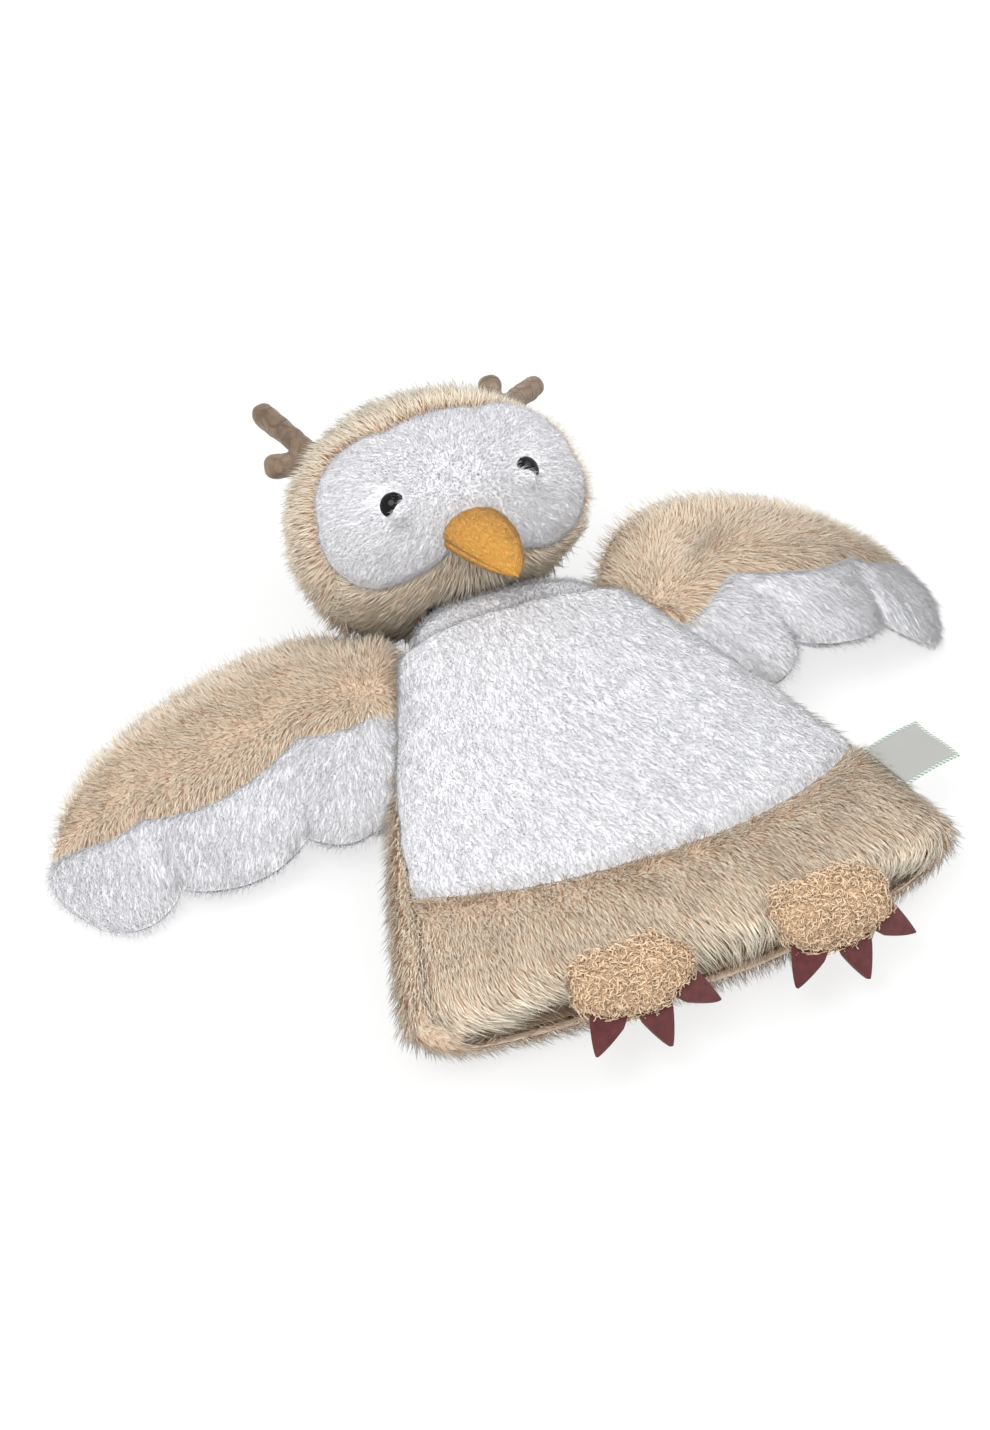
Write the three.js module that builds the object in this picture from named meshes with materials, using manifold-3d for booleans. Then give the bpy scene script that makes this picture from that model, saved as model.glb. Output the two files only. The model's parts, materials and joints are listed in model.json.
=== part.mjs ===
// Owl hand puppet, lying on its back on a table, as its sewn and stuffed pieces come apart.
// Millimetres, +Z up. The origin is on the flat of the back; the head is towards +Y, the hand
// opening towards -Y, and the owl's own left wing is on +X.
import * as THREE from "three";
import { mergeVertices } from "three/addons/utils/BufferGeometryUtils.js";
import Module from "manifold-3d";

const wasm = await Module();
wasm.setup();

// Clearances shared by all pieces.
const seamGap = 0.3; // between two pieces that touch or are sewn together
const flatDepth = 0.5; // how deep the table flattens what lies on it

// Body: a glove, wide at the hem and narrow at the neck, with its fur counted in its walls.
const bodyLength = 179;
const hemY = -93;
const hemHalfWidth = 118;
const neckHalfWidth = 43;
const hemHeight = 37;
const neckHeight = 49;
const sectionPower = 2.5; // 2 is an ellipse, more is boxier
const hemCornerRadius = 16;
const hemShift = 6; // the hem lies a little to +X
const hemSkew = 18; // and its +X corner is pulled towards the head
const bodyWall = 8; // cloth and fur
const liningWall = 1.2;
const bandMiddle = 40; // length of the long-fur band on the front, in the middle
const bandSide = 56; // and at the side seams
const sideSeamAngle = 24; // degrees up the side, where the front meets the back
const bodyFacets = 30; // round the body
const bodyRows = 7; // along it
const edgeSteps = 10; // in the curved edge between band and belly
const armholeWidth = 32;
const armholeHeight = 13;

// Neck: a bored roll that the head's socket turns on.
const neckRise = 12; // pivot beyond the end of the body
const neckPivotZ = 25;
const collarHalfWidth = 40;
const collarRadius = 24;
const collarBore = 12;
const collarGap = 0.6;
const collarFacets = [22, 10];
const boreFacets = 14;

// Head: a stuffed form, wider than high, that lies back with its face towards the feet.
const headHalfWidth = 66;
const headHalfHeight = 49;
const headHalfDepth = 48;
const headCentreX = -1;
const headCentreRise = 54; // from the neck pivot, towards the crown
const headTilt = 42; // degrees
const headSkin = 7;
const headFacets = 26;
const headRings = 16;
const fingerRadius = 9;
const fingerWall = 1.1;
const fingerDepth = 62; // from the neck pivot
const lobe = { x: 27, y: 0, halfWidth: 29, halfHeight: 30 };
const brow = { x: 0, y: 7, halfWidth: 40, halfHeight: 25 };
const chin = { x: 0, y: -37, halfWidth: 53, halfHeight: 29 };
const eyeX = 29.5;
const eyeY = -2.5;
const eyeRadius = 5.4;
const eyeDome = 3.4;
const eyeRim = 0.8; // straight edge below the dome
const eyeFacets = 12;
const eyeSink = 2; // how far an eye's flat back sits in the fur
const shankRadius = 1.8;
const shankLength = 14;
const washerRadius = 6.5;
const washerThickness = 2;
const washerSeat = 1.8; // from the skin's curved back to the washer's flat face
const beakY = -20;
const beakHalfWidth = 14.5;
const beakUp = 11;
const beakDown = 5;
const beakLength = 44;
const beakPitch = -26; // degrees, tip towards the chin
const beakDroop = 7;
const beakWall = 2.2;
const beakRoot = 12; // length behind the face, cut off inside the skin
const beakBlunt = 1.7; // 1 is a plain cone, more is fuller
const beakFacets = 14;
const beakRows = 7;
const hornRoot = { x: 37, y: 29, z: -8 };
const hornRadius = 5.6;
const hornWall = 1.5;
const hornFacets = 8;
const longProng = 42;
const shortProng = 26;
// Degrees outwards from the crown direction, and then back; the soft horns have turned differently.
const rightHorn = { long: { out: 21, back: 36 }, short: { out: 68, back: 42 } };
const leftHorn = { long: { out: 79, back: 46 }, short: { out: 27, back: 48 } };

// Wings: pillows on a seam along the body's side, with three feather lobes each.
const wingMidY = 60; // middle of the shoulder seam
const wingSeamLow = 40; // its length below the middle
const wingSeamHigh = 48; // and above
const wingRootRadius = 14;
const shoulderGap = 0.3; // running gap between a wing's rolled root and the body
const wingAxisZ = 17;
const wingTipZ = 3;
const wingSkin = 4.5;
const wingEdge = 1.6; // half thickness of the sewn edge
const acrossFullness = 2.6; // higher keeps the pillow full nearer to its long edges
const alongFullness = 2.4; // the same towards the tip
const archPeak = 0.85; // under 1 puts the top of the arch nearer to the shoulder
const archSharpness = 1.1;
// Where the coverts end, as a share of the way from the leading edge to the feathers' edge.
const featherStart = 0.5;
const featherSwell = { height: 0.16, power: 1.2 };
const featherRise = { height: 0.27, power: 10 }; // towards the tip
// Room of the wadding inside the wing, as shares of its length and width.
const waddingLength = 0.9;
const waddingSpan = [0.14, 0.8];
const wingReach = 199;
const wingTipInset = 8; // from the reach back to the tip's corners
const wingTipTop = 66; // y of the tip's corners and of the point that rounds it
const wingTipMiddle = 45;
const wingTipLow = 22;
// x and y of points of the leading edge, from the shoulder out.
const leadingPoints = [[67, 127], [86, 132], [112, 129], [143, 118], [171, 97]];
const wingSteps = 14;
const rollShare = 0.2; // of those steps, for the rolled root
const featherNotches = [106, 154]; // x of the two notches between the lobes
const featherDepth = 12;
const pocketWidth = 30;
const pocketHeight = 11;
const pocketWall = 1.1;
const pocketDepth = 44; // beyond the shoulder seam
const leftWing = { arch: 14, sweep: 0.2, shortening: 0.87 }; // pushed up into an arch
const rightWing = { arch: 0, sweep: 0, shortening: 1 }; // lies flat

// Feet: pads sewn by their rear edge to the hem band, with three felt claws each.
const footX = 39.5;
const footShift = 5.5; // both feet lie a little to +X, as the hem does
const footHalfWidth = 23.5;
const footHalfLength = 14.5;
const footHalfHeight = 9.5;
const footWall = 3;
const footOverlap = 3; // how far a foot's rear edge lies on the band
const footRise = 1; // of its middle above the band
const footDrop = 27; // degrees, toes towards the table
const clawLength = 20;
const clawHalfWidth = 6.5;
const clawThickness = 2.2;
const clawInset = 9; // length sewn into the foot
const clawDrop = 26; // degrees more than the foot
const clawFan = 46; // degrees between neighbouring claws
const clawIn = 2; // from the foot's edge to a claw's middle
const footFacets = [16, 10];
const soleLevel = -1; // where the sole meets the upper, below the foot's middle

// Label in the side seam.
const labelWidth = 24;
const labelLength = 25;
const labelThickness = 0.8;
const labelY = -47;

const neckY = hemY + bodyLength;
const v3 = (x, y, z) => new THREE.Vector3(x, y, z);
const mix = THREE.MathUtils.lerp;
const radians = THREE.MathUtils.degToRad;
const power = (value, exponent) => Math.sign(value) * Math.abs(value) ** exponent;

// A closed geometry becomes a solid that can be cut and joined, and back.
function solidOf(geometry) {
  const bare = new THREE.BufferGeometry();
  bare.setAttribute("position", geometry.getAttribute("position"));
  if (geometry.index) bare.setIndex(geometry.index);
  const merged = mergeVertices(bare, 1e-4);
  return new wasm.Manifold(
    new wasm.Mesh({
      numProp: 3,
      vertProperties: merged.attributes.position.array,
      triVerts: new Uint32Array(merged.index.array),
    }),
  );
}

function geometryOf(solid) {
  const mesh = solid.getMesh();
  const points = new Float32Array(mesh.numVert * 3);
  for (let i = 0; i < mesh.numVert; i++) {
    points.set(mesh.vertProperties.subarray(i * mesh.numProp, i * mesh.numProp + 3), i * 3);
  }
  const geometry = new THREE.BufferGeometry();
  geometry.setAttribute("position", new THREE.BufferAttribute(points, 3));
  geometry.setIndex(new THREE.BufferAttribute(new Uint32Array(mesh.triVerts), 1));
  geometry.computeVertexNormals();
  return geometry;
}

// A geometry from points and faces, turned so that its faces point out.
function facingOut(points, faces) {
  let volume = 0;
  for (const [a, b, c] of faces) volume += points[a].dot(points[b].clone().cross(points[c]));
  const turned = volume < 0 ? faces.map(([a, b, c]) => [a, c, b]) : faces;
  const geometry = new THREE.BufferGeometry();
  const numbers = points.flatMap((p) => [p.x, p.y, p.z]);
  geometry.setAttribute("position", new THREE.Float32BufferAttribute(numbers, 3));
  geometry.setIndex(turned.flat());
  return geometry;
}

// The two faces of a sheet or a tube, and the walls that close them: outer(a, b) and inner(a, b)
// give the faces for a and b from 0 to 1, and a tube's a goes round.
function closedSheet(stepsA, stepsB, outer, inner, round = false) {
  const points = [];
  const faces = [];
  const columns = round ? stepsA : stepsA + 1;
  for (const face of [outer, inner]) {
    for (let j = 0; j <= stepsB; j++) {
      for (let i = 0; i < columns; i++) points.push(face(i / stepsA, j / stepsB));
    }
  }
  const at = (side, i, j) => (side * (stepsB + 1) + j) * columns + (i % columns);
  const quad = (a, b, c, d) => faces.push([a, b, c], [a, c, d]);
  for (let i = 0; i < stepsA; i++) {
    for (let j = 0; j < stepsB; j++) {
      quad(at(0, i, j), at(0, i + 1, j), at(0, i + 1, j + 1), at(0, i, j + 1));
      quad(at(1, i, j), at(1, i, j + 1), at(1, i + 1, j + 1), at(1, i + 1, j));
    }
    quad(at(0, i + 1, 0), at(0, i, 0), at(1, i, 0), at(1, i + 1, 0));
    quad(at(0, i, stepsB), at(0, i + 1, stepsB), at(1, i + 1, stepsB), at(1, i, stepsB));
  }
  for (let j = 0; j < stepsB && !round; j++) {
    quad(at(0, 0, j), at(0, 0, j + 1), at(1, 0, j + 1), at(1, 0, j));
    quad(at(0, stepsA, j + 1), at(0, stepsA, j), at(1, stepsA, j), at(1, stepsA, j + 1));
  }
  return facingOut(points, faces);
}

const box = (width, length, height, x, y, z) =>
  solidOf(new THREE.BoxGeometry(width, length, height).translate(x, y, z));

// A stretched ball with as few faces as its size needs.
function ball(halfX, halfY, halfZ, round, rings) {
  return new THREE.SphereGeometry(1, round, rings).scale(halfX, halfY, halfZ);
}

const materials = {
  longFur: new THREE.MeshStandardMaterial({ color: 0xd2bfa8, roughness: 0.95, metalness: 0 }),
  whitePlush: new THREE.MeshStandardMaterial({ color: 0xeceded, roughness: 0.95, metalness: 0 }),
  chinFur: new THREE.MeshStandardMaterial({ color: 0xc4a689, roughness: 0.95, metalness: 0 }),
  curlyPlush: new THREE.MeshStandardMaterial({ color: 0xc9a781, roughness: 0.95, metalness: 0 }),
  beakPlush: new THREE.MeshStandardMaterial({ color: 0xeda33f, roughness: 0.8, metalness: 0 }),
  suede: new THREE.MeshStandardMaterial({ color: 0x8c7768, roughness: 0.85, metalness: 0 }),
  felt: new THREE.MeshStandardMaterial({ color: 0x6b3638, roughness: 0.9, metalness: 0 }),
  blackPlastic: new THREE.MeshStandardMaterial({ color: 0x0b0b0c, roughness: 0.12, metalness: 0 }),
  whitePlastic: new THREE.MeshStandardMaterial({ color: 0xd8d8d4, roughness: 0.4, metalness: 0 }),
  lining: new THREE.MeshStandardMaterial({ color: 0xe6dccb, roughness: 0.8, metalness: 0 }),
  wadding: new THREE.MeshStandardMaterial({ color: 0xf4f4f2, roughness: 1, metalness: 0 }),
  ribbon: new THREE.MeshStandardMaterial({ color: 0xe9eae6, roughness: 0.5, metalness: 0 }),
};

const puppet = new THREE.Group();

function add(name, solid, material, parent = puppet) {
  const mesh = new THREE.Mesh(geometryOf(solid), material);
  mesh.name = name;
  parent.add(mesh);
}

// Body: share of the way from hem to neck, and a point of the skin. Angle 0 is +X, 90 is on top.
const bodyShare = (y) => (y - hemY) / bodyLength;

function bodyHalfWidth(y) {
  const flared = mix(hemHalfWidth, neckHalfWidth, bodyShare(y));
  const inCorner = Math.max(0, hemCornerRadius - (y - hemY));
  return flared - hemCornerRadius + Math.sqrt(hemCornerRadius ** 2 - inCorner ** 2);
}

const bodyHeight = (y) => mix(hemHeight, neckHeight, bodyShare(y));

function bodyPoint(angle, y, inset) {
  const halfHeight = bodyHeight(y) / 2;
  const fromNeck = 1 - bodyShare(y);
  const side = (bodyHalfWidth(y) - inset) * power(Math.cos(angle), 2 / sectionPower);
  const x = side + hemShift * fromNeck ** 3;
  const rise = (halfHeight - inset) * power(Math.sin(angle), 2 / sectionPower);
  const z = halfHeight - flatDepth + rise;
  const pulled = hemSkew * fromNeck ** 2 * (Math.max(0, side) / hemHalfWidth) ** 1.6;
  return v3(x, y + pulled, z);
}

const seamAngle = radians(sideSeamAngle);
const bandEdge = (angle) => hemY + mix(bandMiddle, bandSide, Math.cos(angle) ** 2);

// A closed tube between two depths below the body's outer surface. Its rows crowd at the hem.
function bodyTube(outerInset, innerInset) {
  const face = (inset) => (a, b) => bodyPoint(a * 2 * Math.PI, hemY + bodyLength * b ** 1.5, inset);
  return solidOf(closedSheet(bodyFacets, bodyRows, face(outerInset), face(innerInset), true));
}

// Everything above the side seams, which both lie in one plane that climbs towards the neck.
function aboveSeams(grow) {
  const size = 6 * hemHalfWidth;
  const [low, high] = [hemY, neckY].map((y) => v3(0, y, bodyPoint(seamAngle, y, 0).z));
  const block = new THREE.BoxGeometry(size, size, size).translate(0, 0, size / 2 - grow);
  block.rotateX(Math.atan2(high.z - low.z, high.y - low.y));
  return solidOf(block.translate(...low));
}

// Everything on the hem's side of the edge between the hem band and the belly, seen from above.
function hemSide(grow) {
  const far = 2 * hemHalfWidth;
  const shape = new THREE.Shape();
  shape.moveTo(-far, hemY - far);
  for (let k = 0; k <= edgeSteps; k++) {
    const angle = Math.PI * (1 - k / edgeSteps);
    const edge = bodyPoint(angle, bandEdge(angle) + grow, 0);
    if (k === 0) shape.lineTo(-far, edge.y);
    shape.lineTo(edge.x, edge.y);
    if (k === edgeSteps) shape.lineTo(far, edge.y);
  }
  shape.lineTo(far, hemY - far);
  return solidOf(new THREE.ExtrudeGeometry(shape, { depth: 4 * neckHeight, bevelEnabled: false }));
}

function body() {
  const tube = bodyTube(0, bodyWall);
  const front = tube.intersect(aboveSeams(-seamGap / 2));
  add("belly_panel", front.subtract(hemSide(seamGap / 2)), materials.whitePlush);
  add("hem_band", front.intersect(hemSide(-seamGap / 2)), materials.longFur);

  // Armholes let the fingers through into the wings.
  const armholes = box(4 * hemHalfWidth, armholeWidth, armholeHeight, 0, wingMidY, wingAxisZ);
  const table = box(4 * hemHalfWidth, 4 * bodyLength, hemHeight, 0, 0, -hemHeight / 2);
  const back = tube.subtract(aboveSeams(seamGap / 2)).subtract(table);
  add("back_panel", back.subtract(armholes), materials.longFur);
  const lining = bodyTube(bodyWall + seamGap, bodyWall + seamGap + liningWall);
  add("hand_lining", lining.subtract(armholes), materials.lining);
}

// Neck roll: a turned form about X, cut flat where it meets the body.
const neckPivot = v3(0, neckY + neckRise, neckPivotZ);

function neckForm(grow) {
  const form = ball(collarRadius + grow, collarHalfWidth + grow, collarRadius + grow, ...collarFacets);
  return form.rotateZ(Math.PI / 2).translate(...neckPivot);
}

function collar() {
  const reach = 4 * collarRadius;
  const bore = new THREE.CylinderGeometry(collarBore, collarBore, reach, boreFacets).translate(...neckPivot);
  const bodySide = box(reach, reach, reach, 0, neckY + seamGap - reach / 2, 0);
  const roll = solidOf(neckForm(0)).subtract(bodySide).subtract(solidOf(bore));
  add("neck_collar", roll, materials.whitePlush);
}

// Head, in a frame of its own at its centre: +X to the side, +Y to the crown, +Z out of the face.
const head = new THREE.Group();
head.rotation.x = radians(headTilt);
const headCentreZ = (() => {
  const lift = headHalfHeight * Math.sin(head.rotation.x);
  const depth = headHalfDepth * Math.cos(head.rotation.x);
  return Math.hypot(lift, depth) - flatDepth;
})();
head.position.set(headCentreX, neckPivot.y + headCentreRise, headCentreZ);
head.updateMatrixWorld(true);
puppet.add(head);
const intoHead = head.matrixWorld.clone().invert();

const faceDepth = (x, y, inset = 0) => {
  const left = 1 - (x / (headHalfWidth - inset)) ** 2 - (y / (headHalfHeight - inset)) ** 2;
  return (headHalfDepth - inset) * Math.sqrt(Math.max(0, left));
};

function skull(inset) {
  const form = ball(headHalfWidth - inset, headHalfHeight - inset, headHalfDepth - inset, headFacets, headRings);
  return solidOf(form);
}

// A straight-sided cutter over an oval of the face, from the head's middle plane outwards.
function ovalCutter(oval, grow) {
  const cutter = new THREE.CylinderGeometry(1, 1, 2 * headHalfDepth, headFacets);
  cutter.rotateX(Math.PI / 2);
  cutter.scale(oval.halfWidth + grow, oval.halfHeight + grow, 1);
  return solidOf(cutter.translate(oval.x, oval.y, headHalfDepth));
}

function maskCutter(grow) {
  const otherLobe = { ...lobe, x: -lobe.x };
  return ovalCutter(lobe, grow).add(ovalCutter(otherLobe, grow)).add(ovalCutter(brow, grow));
}

// A rod of round section between the centres of its round ends.
function rod(from, to, radius) {
  const along = to.clone().sub(from);
  const geometry = new THREE.CapsuleGeometry(radius, along.length(), 2, hornFacets);
  const turn = new THREE.Quaternion().setFromUnitVectors(v3(0, 1, 0), along.clone().normalize());
  const middle = from.clone().add(to).multiplyScalar(0.5);
  return solidOf(geometry.applyQuaternion(turn).translate(...middle));
}

function prongEnd(root, length, direction, side) {
  const out = radians(direction.out);
  const back = radians(direction.back);
  const end = v3(Math.sin(out) * side, Math.cos(out), 0).multiplyScalar(Math.cos(back));
  end.z = -Math.sin(back);
  return end.multiplyScalar(length).add(root);
}

// A horn is a long and a short prong from one root inside the head. An open root runs on inwards.
function horn(side, directions, grow, openRoot = false) {
  const radius = hornRadius + grow;
  const root = v3(side * hornRoot.x, hornRoot.y, hornRoot.z);
  const long = rod(root, prongEnd(root, longProng - hornRadius, directions.long, side), radius);
  const short = rod(root, prongEnd(root, shortProng - hornRadius, directions.short, side), radius);
  const whole = long.add(short);
  if (!openRoot) return whole;
  return whole.add(rod(prongEnd(root, -2 * hornRadius, directions.long, side), root, radius));
}

// Eyes: a dome on a shank, turned to stand square on the face.
function onFace(geometry, x, y, sink) {
  const z = faceDepth(x, y);
  const outwards = v3(x / headHalfWidth ** 2, y / headHalfHeight ** 2, z / headHalfDepth ** 2).normalize();
  const turn = new THREE.Quaternion().setFromUnitVectors(v3(0, 1, 0), outwards);
  const seat = v3(x, y, z).addScaledVector(outwards, -sink);
  return solidOf(geometry.applyQuaternion(turn).translate(...seat));
}

function eyeProfile(grow) {
  const profile = [new THREE.Vector2(0, -shankLength - grow)];
  profile.push(new THREE.Vector2(shankRadius + grow, -shankLength - grow));
  profile.push(new THREE.Vector2(shankRadius + grow, -grow));
  profile.push(new THREE.Vector2(eyeRadius + grow, -grow));
  const steps = 3;
  for (let i = 0; i < steps; i++) {
    const angle = (Math.PI / 2) * (i / steps);
    const radius = (eyeRadius + grow) * Math.cos(angle);
    profile.push(new THREE.Vector2(radius, eyeRim + grow + eyeDome * Math.sin(angle)));
  }
  profile.push(new THREE.Vector2(0, eyeRim + grow + eyeDome));
  return new THREE.LatheGeometry(profile, eyeFacets);
}

function washer(grow) {
  const inner = shankRadius + seamGap - grow;
  const outer = washerRadius + grow;
  const low = -headSkin + eyeSink - washerThickness - washerSeat - grow;
  const high = low + washerThickness + 2 * grow;
  const corners = [[inner, low], [outer, low], [outer, high], [inner, high], [inner, low]];
  return new THREE.LatheGeometry(corners.map(([x, y]) => new THREE.Vector2(x, y)), eyeFacets);
}

// Beak: a drooping cone, domed above and flatter below. a goes round, b from the face to the tip.
function beakForm(inset) {
  const stepsA = beakFacets;
  const stepsB = beakRows;
  const points = [];
  const faces = [];
  const taper = (b) => Math.sqrt(Math.max(0, 1 - b ** beakBlunt));
  for (let j = -1; j < stepsB; j++) {
    const b = Math.max(0, j / stepsB);
    const forward = j < 0 ? -beakRoot : (beakLength - inset) * b;
    for (let i = 0; i < stepsA; i++) {
      const angle = (i / stepsA) * 2 * Math.PI;
      const tall = Math.sin(angle) > 0 ? beakUp : beakDown;
      const size = Math.max(taper(b) - inset / beakUp, 0.02);
      const height = tall * size * Math.sin(angle) - beakDroop * b ** 2;
      points.push(v3(beakHalfWidth * size * Math.cos(angle), height, forward));
    }
  }
  points.push(v3(0, -beakDroop, beakLength - inset), v3(0, 0, -beakRoot));
  const tip = points.length - 2;
  const at = (i, j) => j * stepsA + (i % stepsA);
  for (let i = 0; i < stepsA; i++) {
    for (let j = 0; j < stepsB; j++) {
      faces.push([at(i, j), at(i + 1, j), at(i + 1, j + 1)], [at(i, j), at(i + 1, j + 1), at(i, j + 1)]);
    }
    faces.push([at(i, stepsB), at(i + 1, stepsB), tip], [at(i + 1, 0), at(i, 0), tip + 1]);
  }
  return facingOut(points, faces);
}

function placeBeak(geometry, back = 0) {
  const root = v3(0, beakY, faceDepth(0, beakY) - headSkin);
  return solidOf(geometry.translate(0, 0, -back).rotateX(radians(-beakPitch)).translate(...root));
}

function buildHead() {
  const big = 8 * headHalfWidth;
  const tableSolid = new THREE.BoxGeometry(big, big, big).translate(0, 0, -big / 2).applyMatrix4(intoHead);
  const table = solidOf(tableSolid);
  const socket = solidOf(neckForm(collarGap).applyMatrix4(intoHead));
  const poke = (radius, end) => {
    const tube = new THREE.CylinderGeometry(radius, radius, end, boreFacets);
    return solidOf(tube.translate(0, end / 2, 0).translate(...neckPivot).applyMatrix4(intoHead));
  };
  const fingerHole = poke(fingerRadius, fingerDepth);
  const sides = [["right", -1, rightHorn], ["left", 1, leftHorn]];

  // What passes through the head's skin and filling.
  let fittings = fingerHole.add(socket).add(table);
  const beakHole = placeBeak(beakForm(-seamGap));
  for (const [, side, directions] of sides) {
    fittings = fittings.add(onFace(eyeProfile(seamGap), side * eyeX, eyeY, eyeSink));
    fittings = fittings.add(horn(side, directions, seamGap));
  }

  const shell = skull(0).subtract(skull(headSkin)).subtract(fittings);
  const frontCut = maskCutter(seamGap / 2);
  const chinCut = ovalCutter(chin, seamGap / 2);
  add("hood", shell.subtract(frontCut).subtract(chinCut).subtract(beakHole), materials.longFur, head);
  add("face_mask", shell.intersect(maskCutter(-seamGap / 2)).subtract(beakHole), materials.whitePlush, head);
  const chinSkin = shell.intersect(ovalCutter(chin, -seamGap / 2)).subtract(frontCut).subtract(beakHole);
  add("chin_panel", chinSkin, materials.chinFur, head);

  let filling = skull(headSkin + seamGap).subtract(fittings);
  for (const [name, side, directions] of sides) {
    filling = filling.subtract(onFace(washer(seamGap), side * eyeX, eyeY, eyeSink));
    add(`${name}_eye`, onFace(eyeProfile(0), side * eyeX, eyeY, eyeSink), materials.blackPlastic, head);
    add(`${name}_eye_washer`, onFace(washer(0), side * eyeX, eyeY, eyeSink), materials.whitePlastic, head);

    const skin = horn(side, directions, 0).subtract(horn(side, directions, -hornWall, true));
    add(`${name}_horn`, skin, materials.suede, head);
    const core = horn(side, directions, -hornWall - seamGap);
    add(`${name}_horn_filling`, core, materials.wadding, head);
  }
  add("head_filling", filling, materials.wadding, head);

  const pocket = poke(fingerRadius - seamGap, fingerDepth - seamGap);
  const pocketHollow = poke(fingerRadius - seamGap - fingerWall, fingerDepth - seamGap - fingerWall);
  add("head_finger_pocket", pocket.subtract(pocketHollow).subtract(socket), materials.lining, head);

  // The beak's two cloth sides meet along its edge; its root is sewn to the face.
  const cloth = placeBeak(beakForm(0)).subtract(placeBeak(beakForm(beakWall), 2 * beakWall));
  const half = (sign) =>
    placeBeak(new THREE.BoxGeometry(big, big, big).translate(0, (sign * (big + seamGap)) / 2 - beakDroop / 3, 0));
  const outside = skull(headSkin + seamGap);
  add("beak_top", cloth.intersect(half(1)).subtract(outside), materials.beakPlush, head);
  add("beak_underside", cloth.intersect(half(-1)).subtract(outside), materials.beakPlush, head);
  const share = 1 - seamGap / (beakDown - beakWall);
  const core = beakForm(beakWall).scale(share, share, share);
  const stuffing = placeBeak(core, 2 * beakWall).subtract(outside);
  add("beak_filling", stuffing, materials.wadding, head);
}

// Wings. The seam runs beside the body, parallel to its side.
const sideSlope = (hemHalfWidth - neckHalfWidth) / bodyLength;
const seamDirection = v3(-sideSlope, 1, 0).normalize();
const outDirection = v3(seamDirection.y, -seamDirection.x, 0);
const shoulder = v3(bodyHalfWidth(wingMidY), wingMidY, 0);
const belowMiddle = 1 - (wingAxisZ + flatDepth) / (bodyHeight(wingMidY) / 2);
shoulder.x *= (1 - Math.abs(belowMiddle) ** sectionPower) ** (1 / sectionPower);
shoulder.x += (wingRootRadius + shoulderGap) / outDirection.x;

// A wing's plan for the +X side: s runs from the shoulder seam to the tip, t from the leading edge
// to the feathers' edge.
function wingPlan() {
  const rootHigh = shoulder.clone().addScaledVector(seamDirection, wingSeamHigh);
  const rootLow = shoulder.clone().addScaledVector(seamDirection, -wingSeamLow);
  const tipHigh = v3(wingReach - wingTipInset, wingTipTop, 0);
  const tipLow = v3(wingReach - wingTipInset, wingTipLow, 0);
  const bend = v3(wingReach + wingTipInset, wingTipMiddle, 0);
  const tip = new THREE.QuadraticBezierCurve3(tipHigh, bend, tipLow);
  const between = leadingPoints.map(([x, y]) => v3(x, y, 0));
  const leading = new THREE.CatmullRomCurve3([rootHigh, ...between, tipHigh]);
  const notches = [rootLow.x, ...featherNotches, tipLow.x];
  const trailing = (s) => {
    const x = mix(rootLow.x, tipLow.x, s);
    const k = Math.min(notches.length - 2, notches.findLastIndex((notch) => x >= notch - 1e-6));
    const share = (x - notches[k]) / (notches[k + 1] - notches[k]);
    const dip = featherDepth * Math.sin(Math.PI * Math.min(1, Math.max(0, share))) ** 0.7;
    return v3(x, mix(rootLow.y, tipLow.y, s) - dip, 0);
  };
  return (s, t) => {
    const rails = leading.getPoint(s).lerp(trailing(s), t);
    const ends = rootHigh.clone().lerp(rootLow, t).lerp(tip.getPoint(t), s);
    const corners = rootHigh.clone().lerp(rootLow, t).lerp(tipHigh.clone().lerp(tipLow, t), s);
    return rails.add(ends).sub(corners);
  };
}

const planPoint = wingPlan();
function featherLine(s) {
  const swell = featherSwell.height * Math.sin(Math.PI * s ** featherSwell.power);
  return featherStart + swell - featherRise.height * s ** featherRise.power;
}

function wingHalfHeight(s, t) {
  const across = Math.sqrt(Math.max(0, 1 - Math.abs(2 * t - 1) ** acrossFullness));
  const along = Math.sqrt(Math.max(0, 1 - s ** alongFullness));
  return wingEdge + (wingRootRadius - wingEdge) * across * along;
}

const bulge = (s) => Math.sin(Math.PI * s ** archPeak) ** archSharpness;
const wingMiddleZ = (s, pose) => mix(wingAxisZ, wingTipZ, s) + pose.arch * bulge(s);

// A point of the wing's upper (1) or lower (-1) face. The first share of a is the rolled root.
function wingPoint(face, a, t, inset, pose) {
  const rolled = a < rollShare;
  const s = rolled ? 0 : (a - rollShare) / (1 - rollShare);
  const turn = rolled ? (Math.PI / 2) * (a / rollShare) : Math.PI / 2;
  const half = Math.max(wingHalfHeight(s, t) - inset, seamGap / 2);
  const point = planPoint(s, t);
  point.x += (point.x - shoulder.x) * (pose.shortening - 1) * Math.min(1, 3 * s);
  point.y += pose.sweep * Math.max(0, point.x - shoulder.x);
  point.addScaledVector(outDirection, -half * Math.cos(turn));
  const lift = Math.max(half * Math.sin(turn), seamGap / 2);
  const middle = wingMiddleZ(s, pose);
  const lowest = Math.min(inset, middle - seamGap / 2);
  point.z = face > 0 ? middle + lift : Math.max(middle - lift, lowest);
  return point;
}

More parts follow.
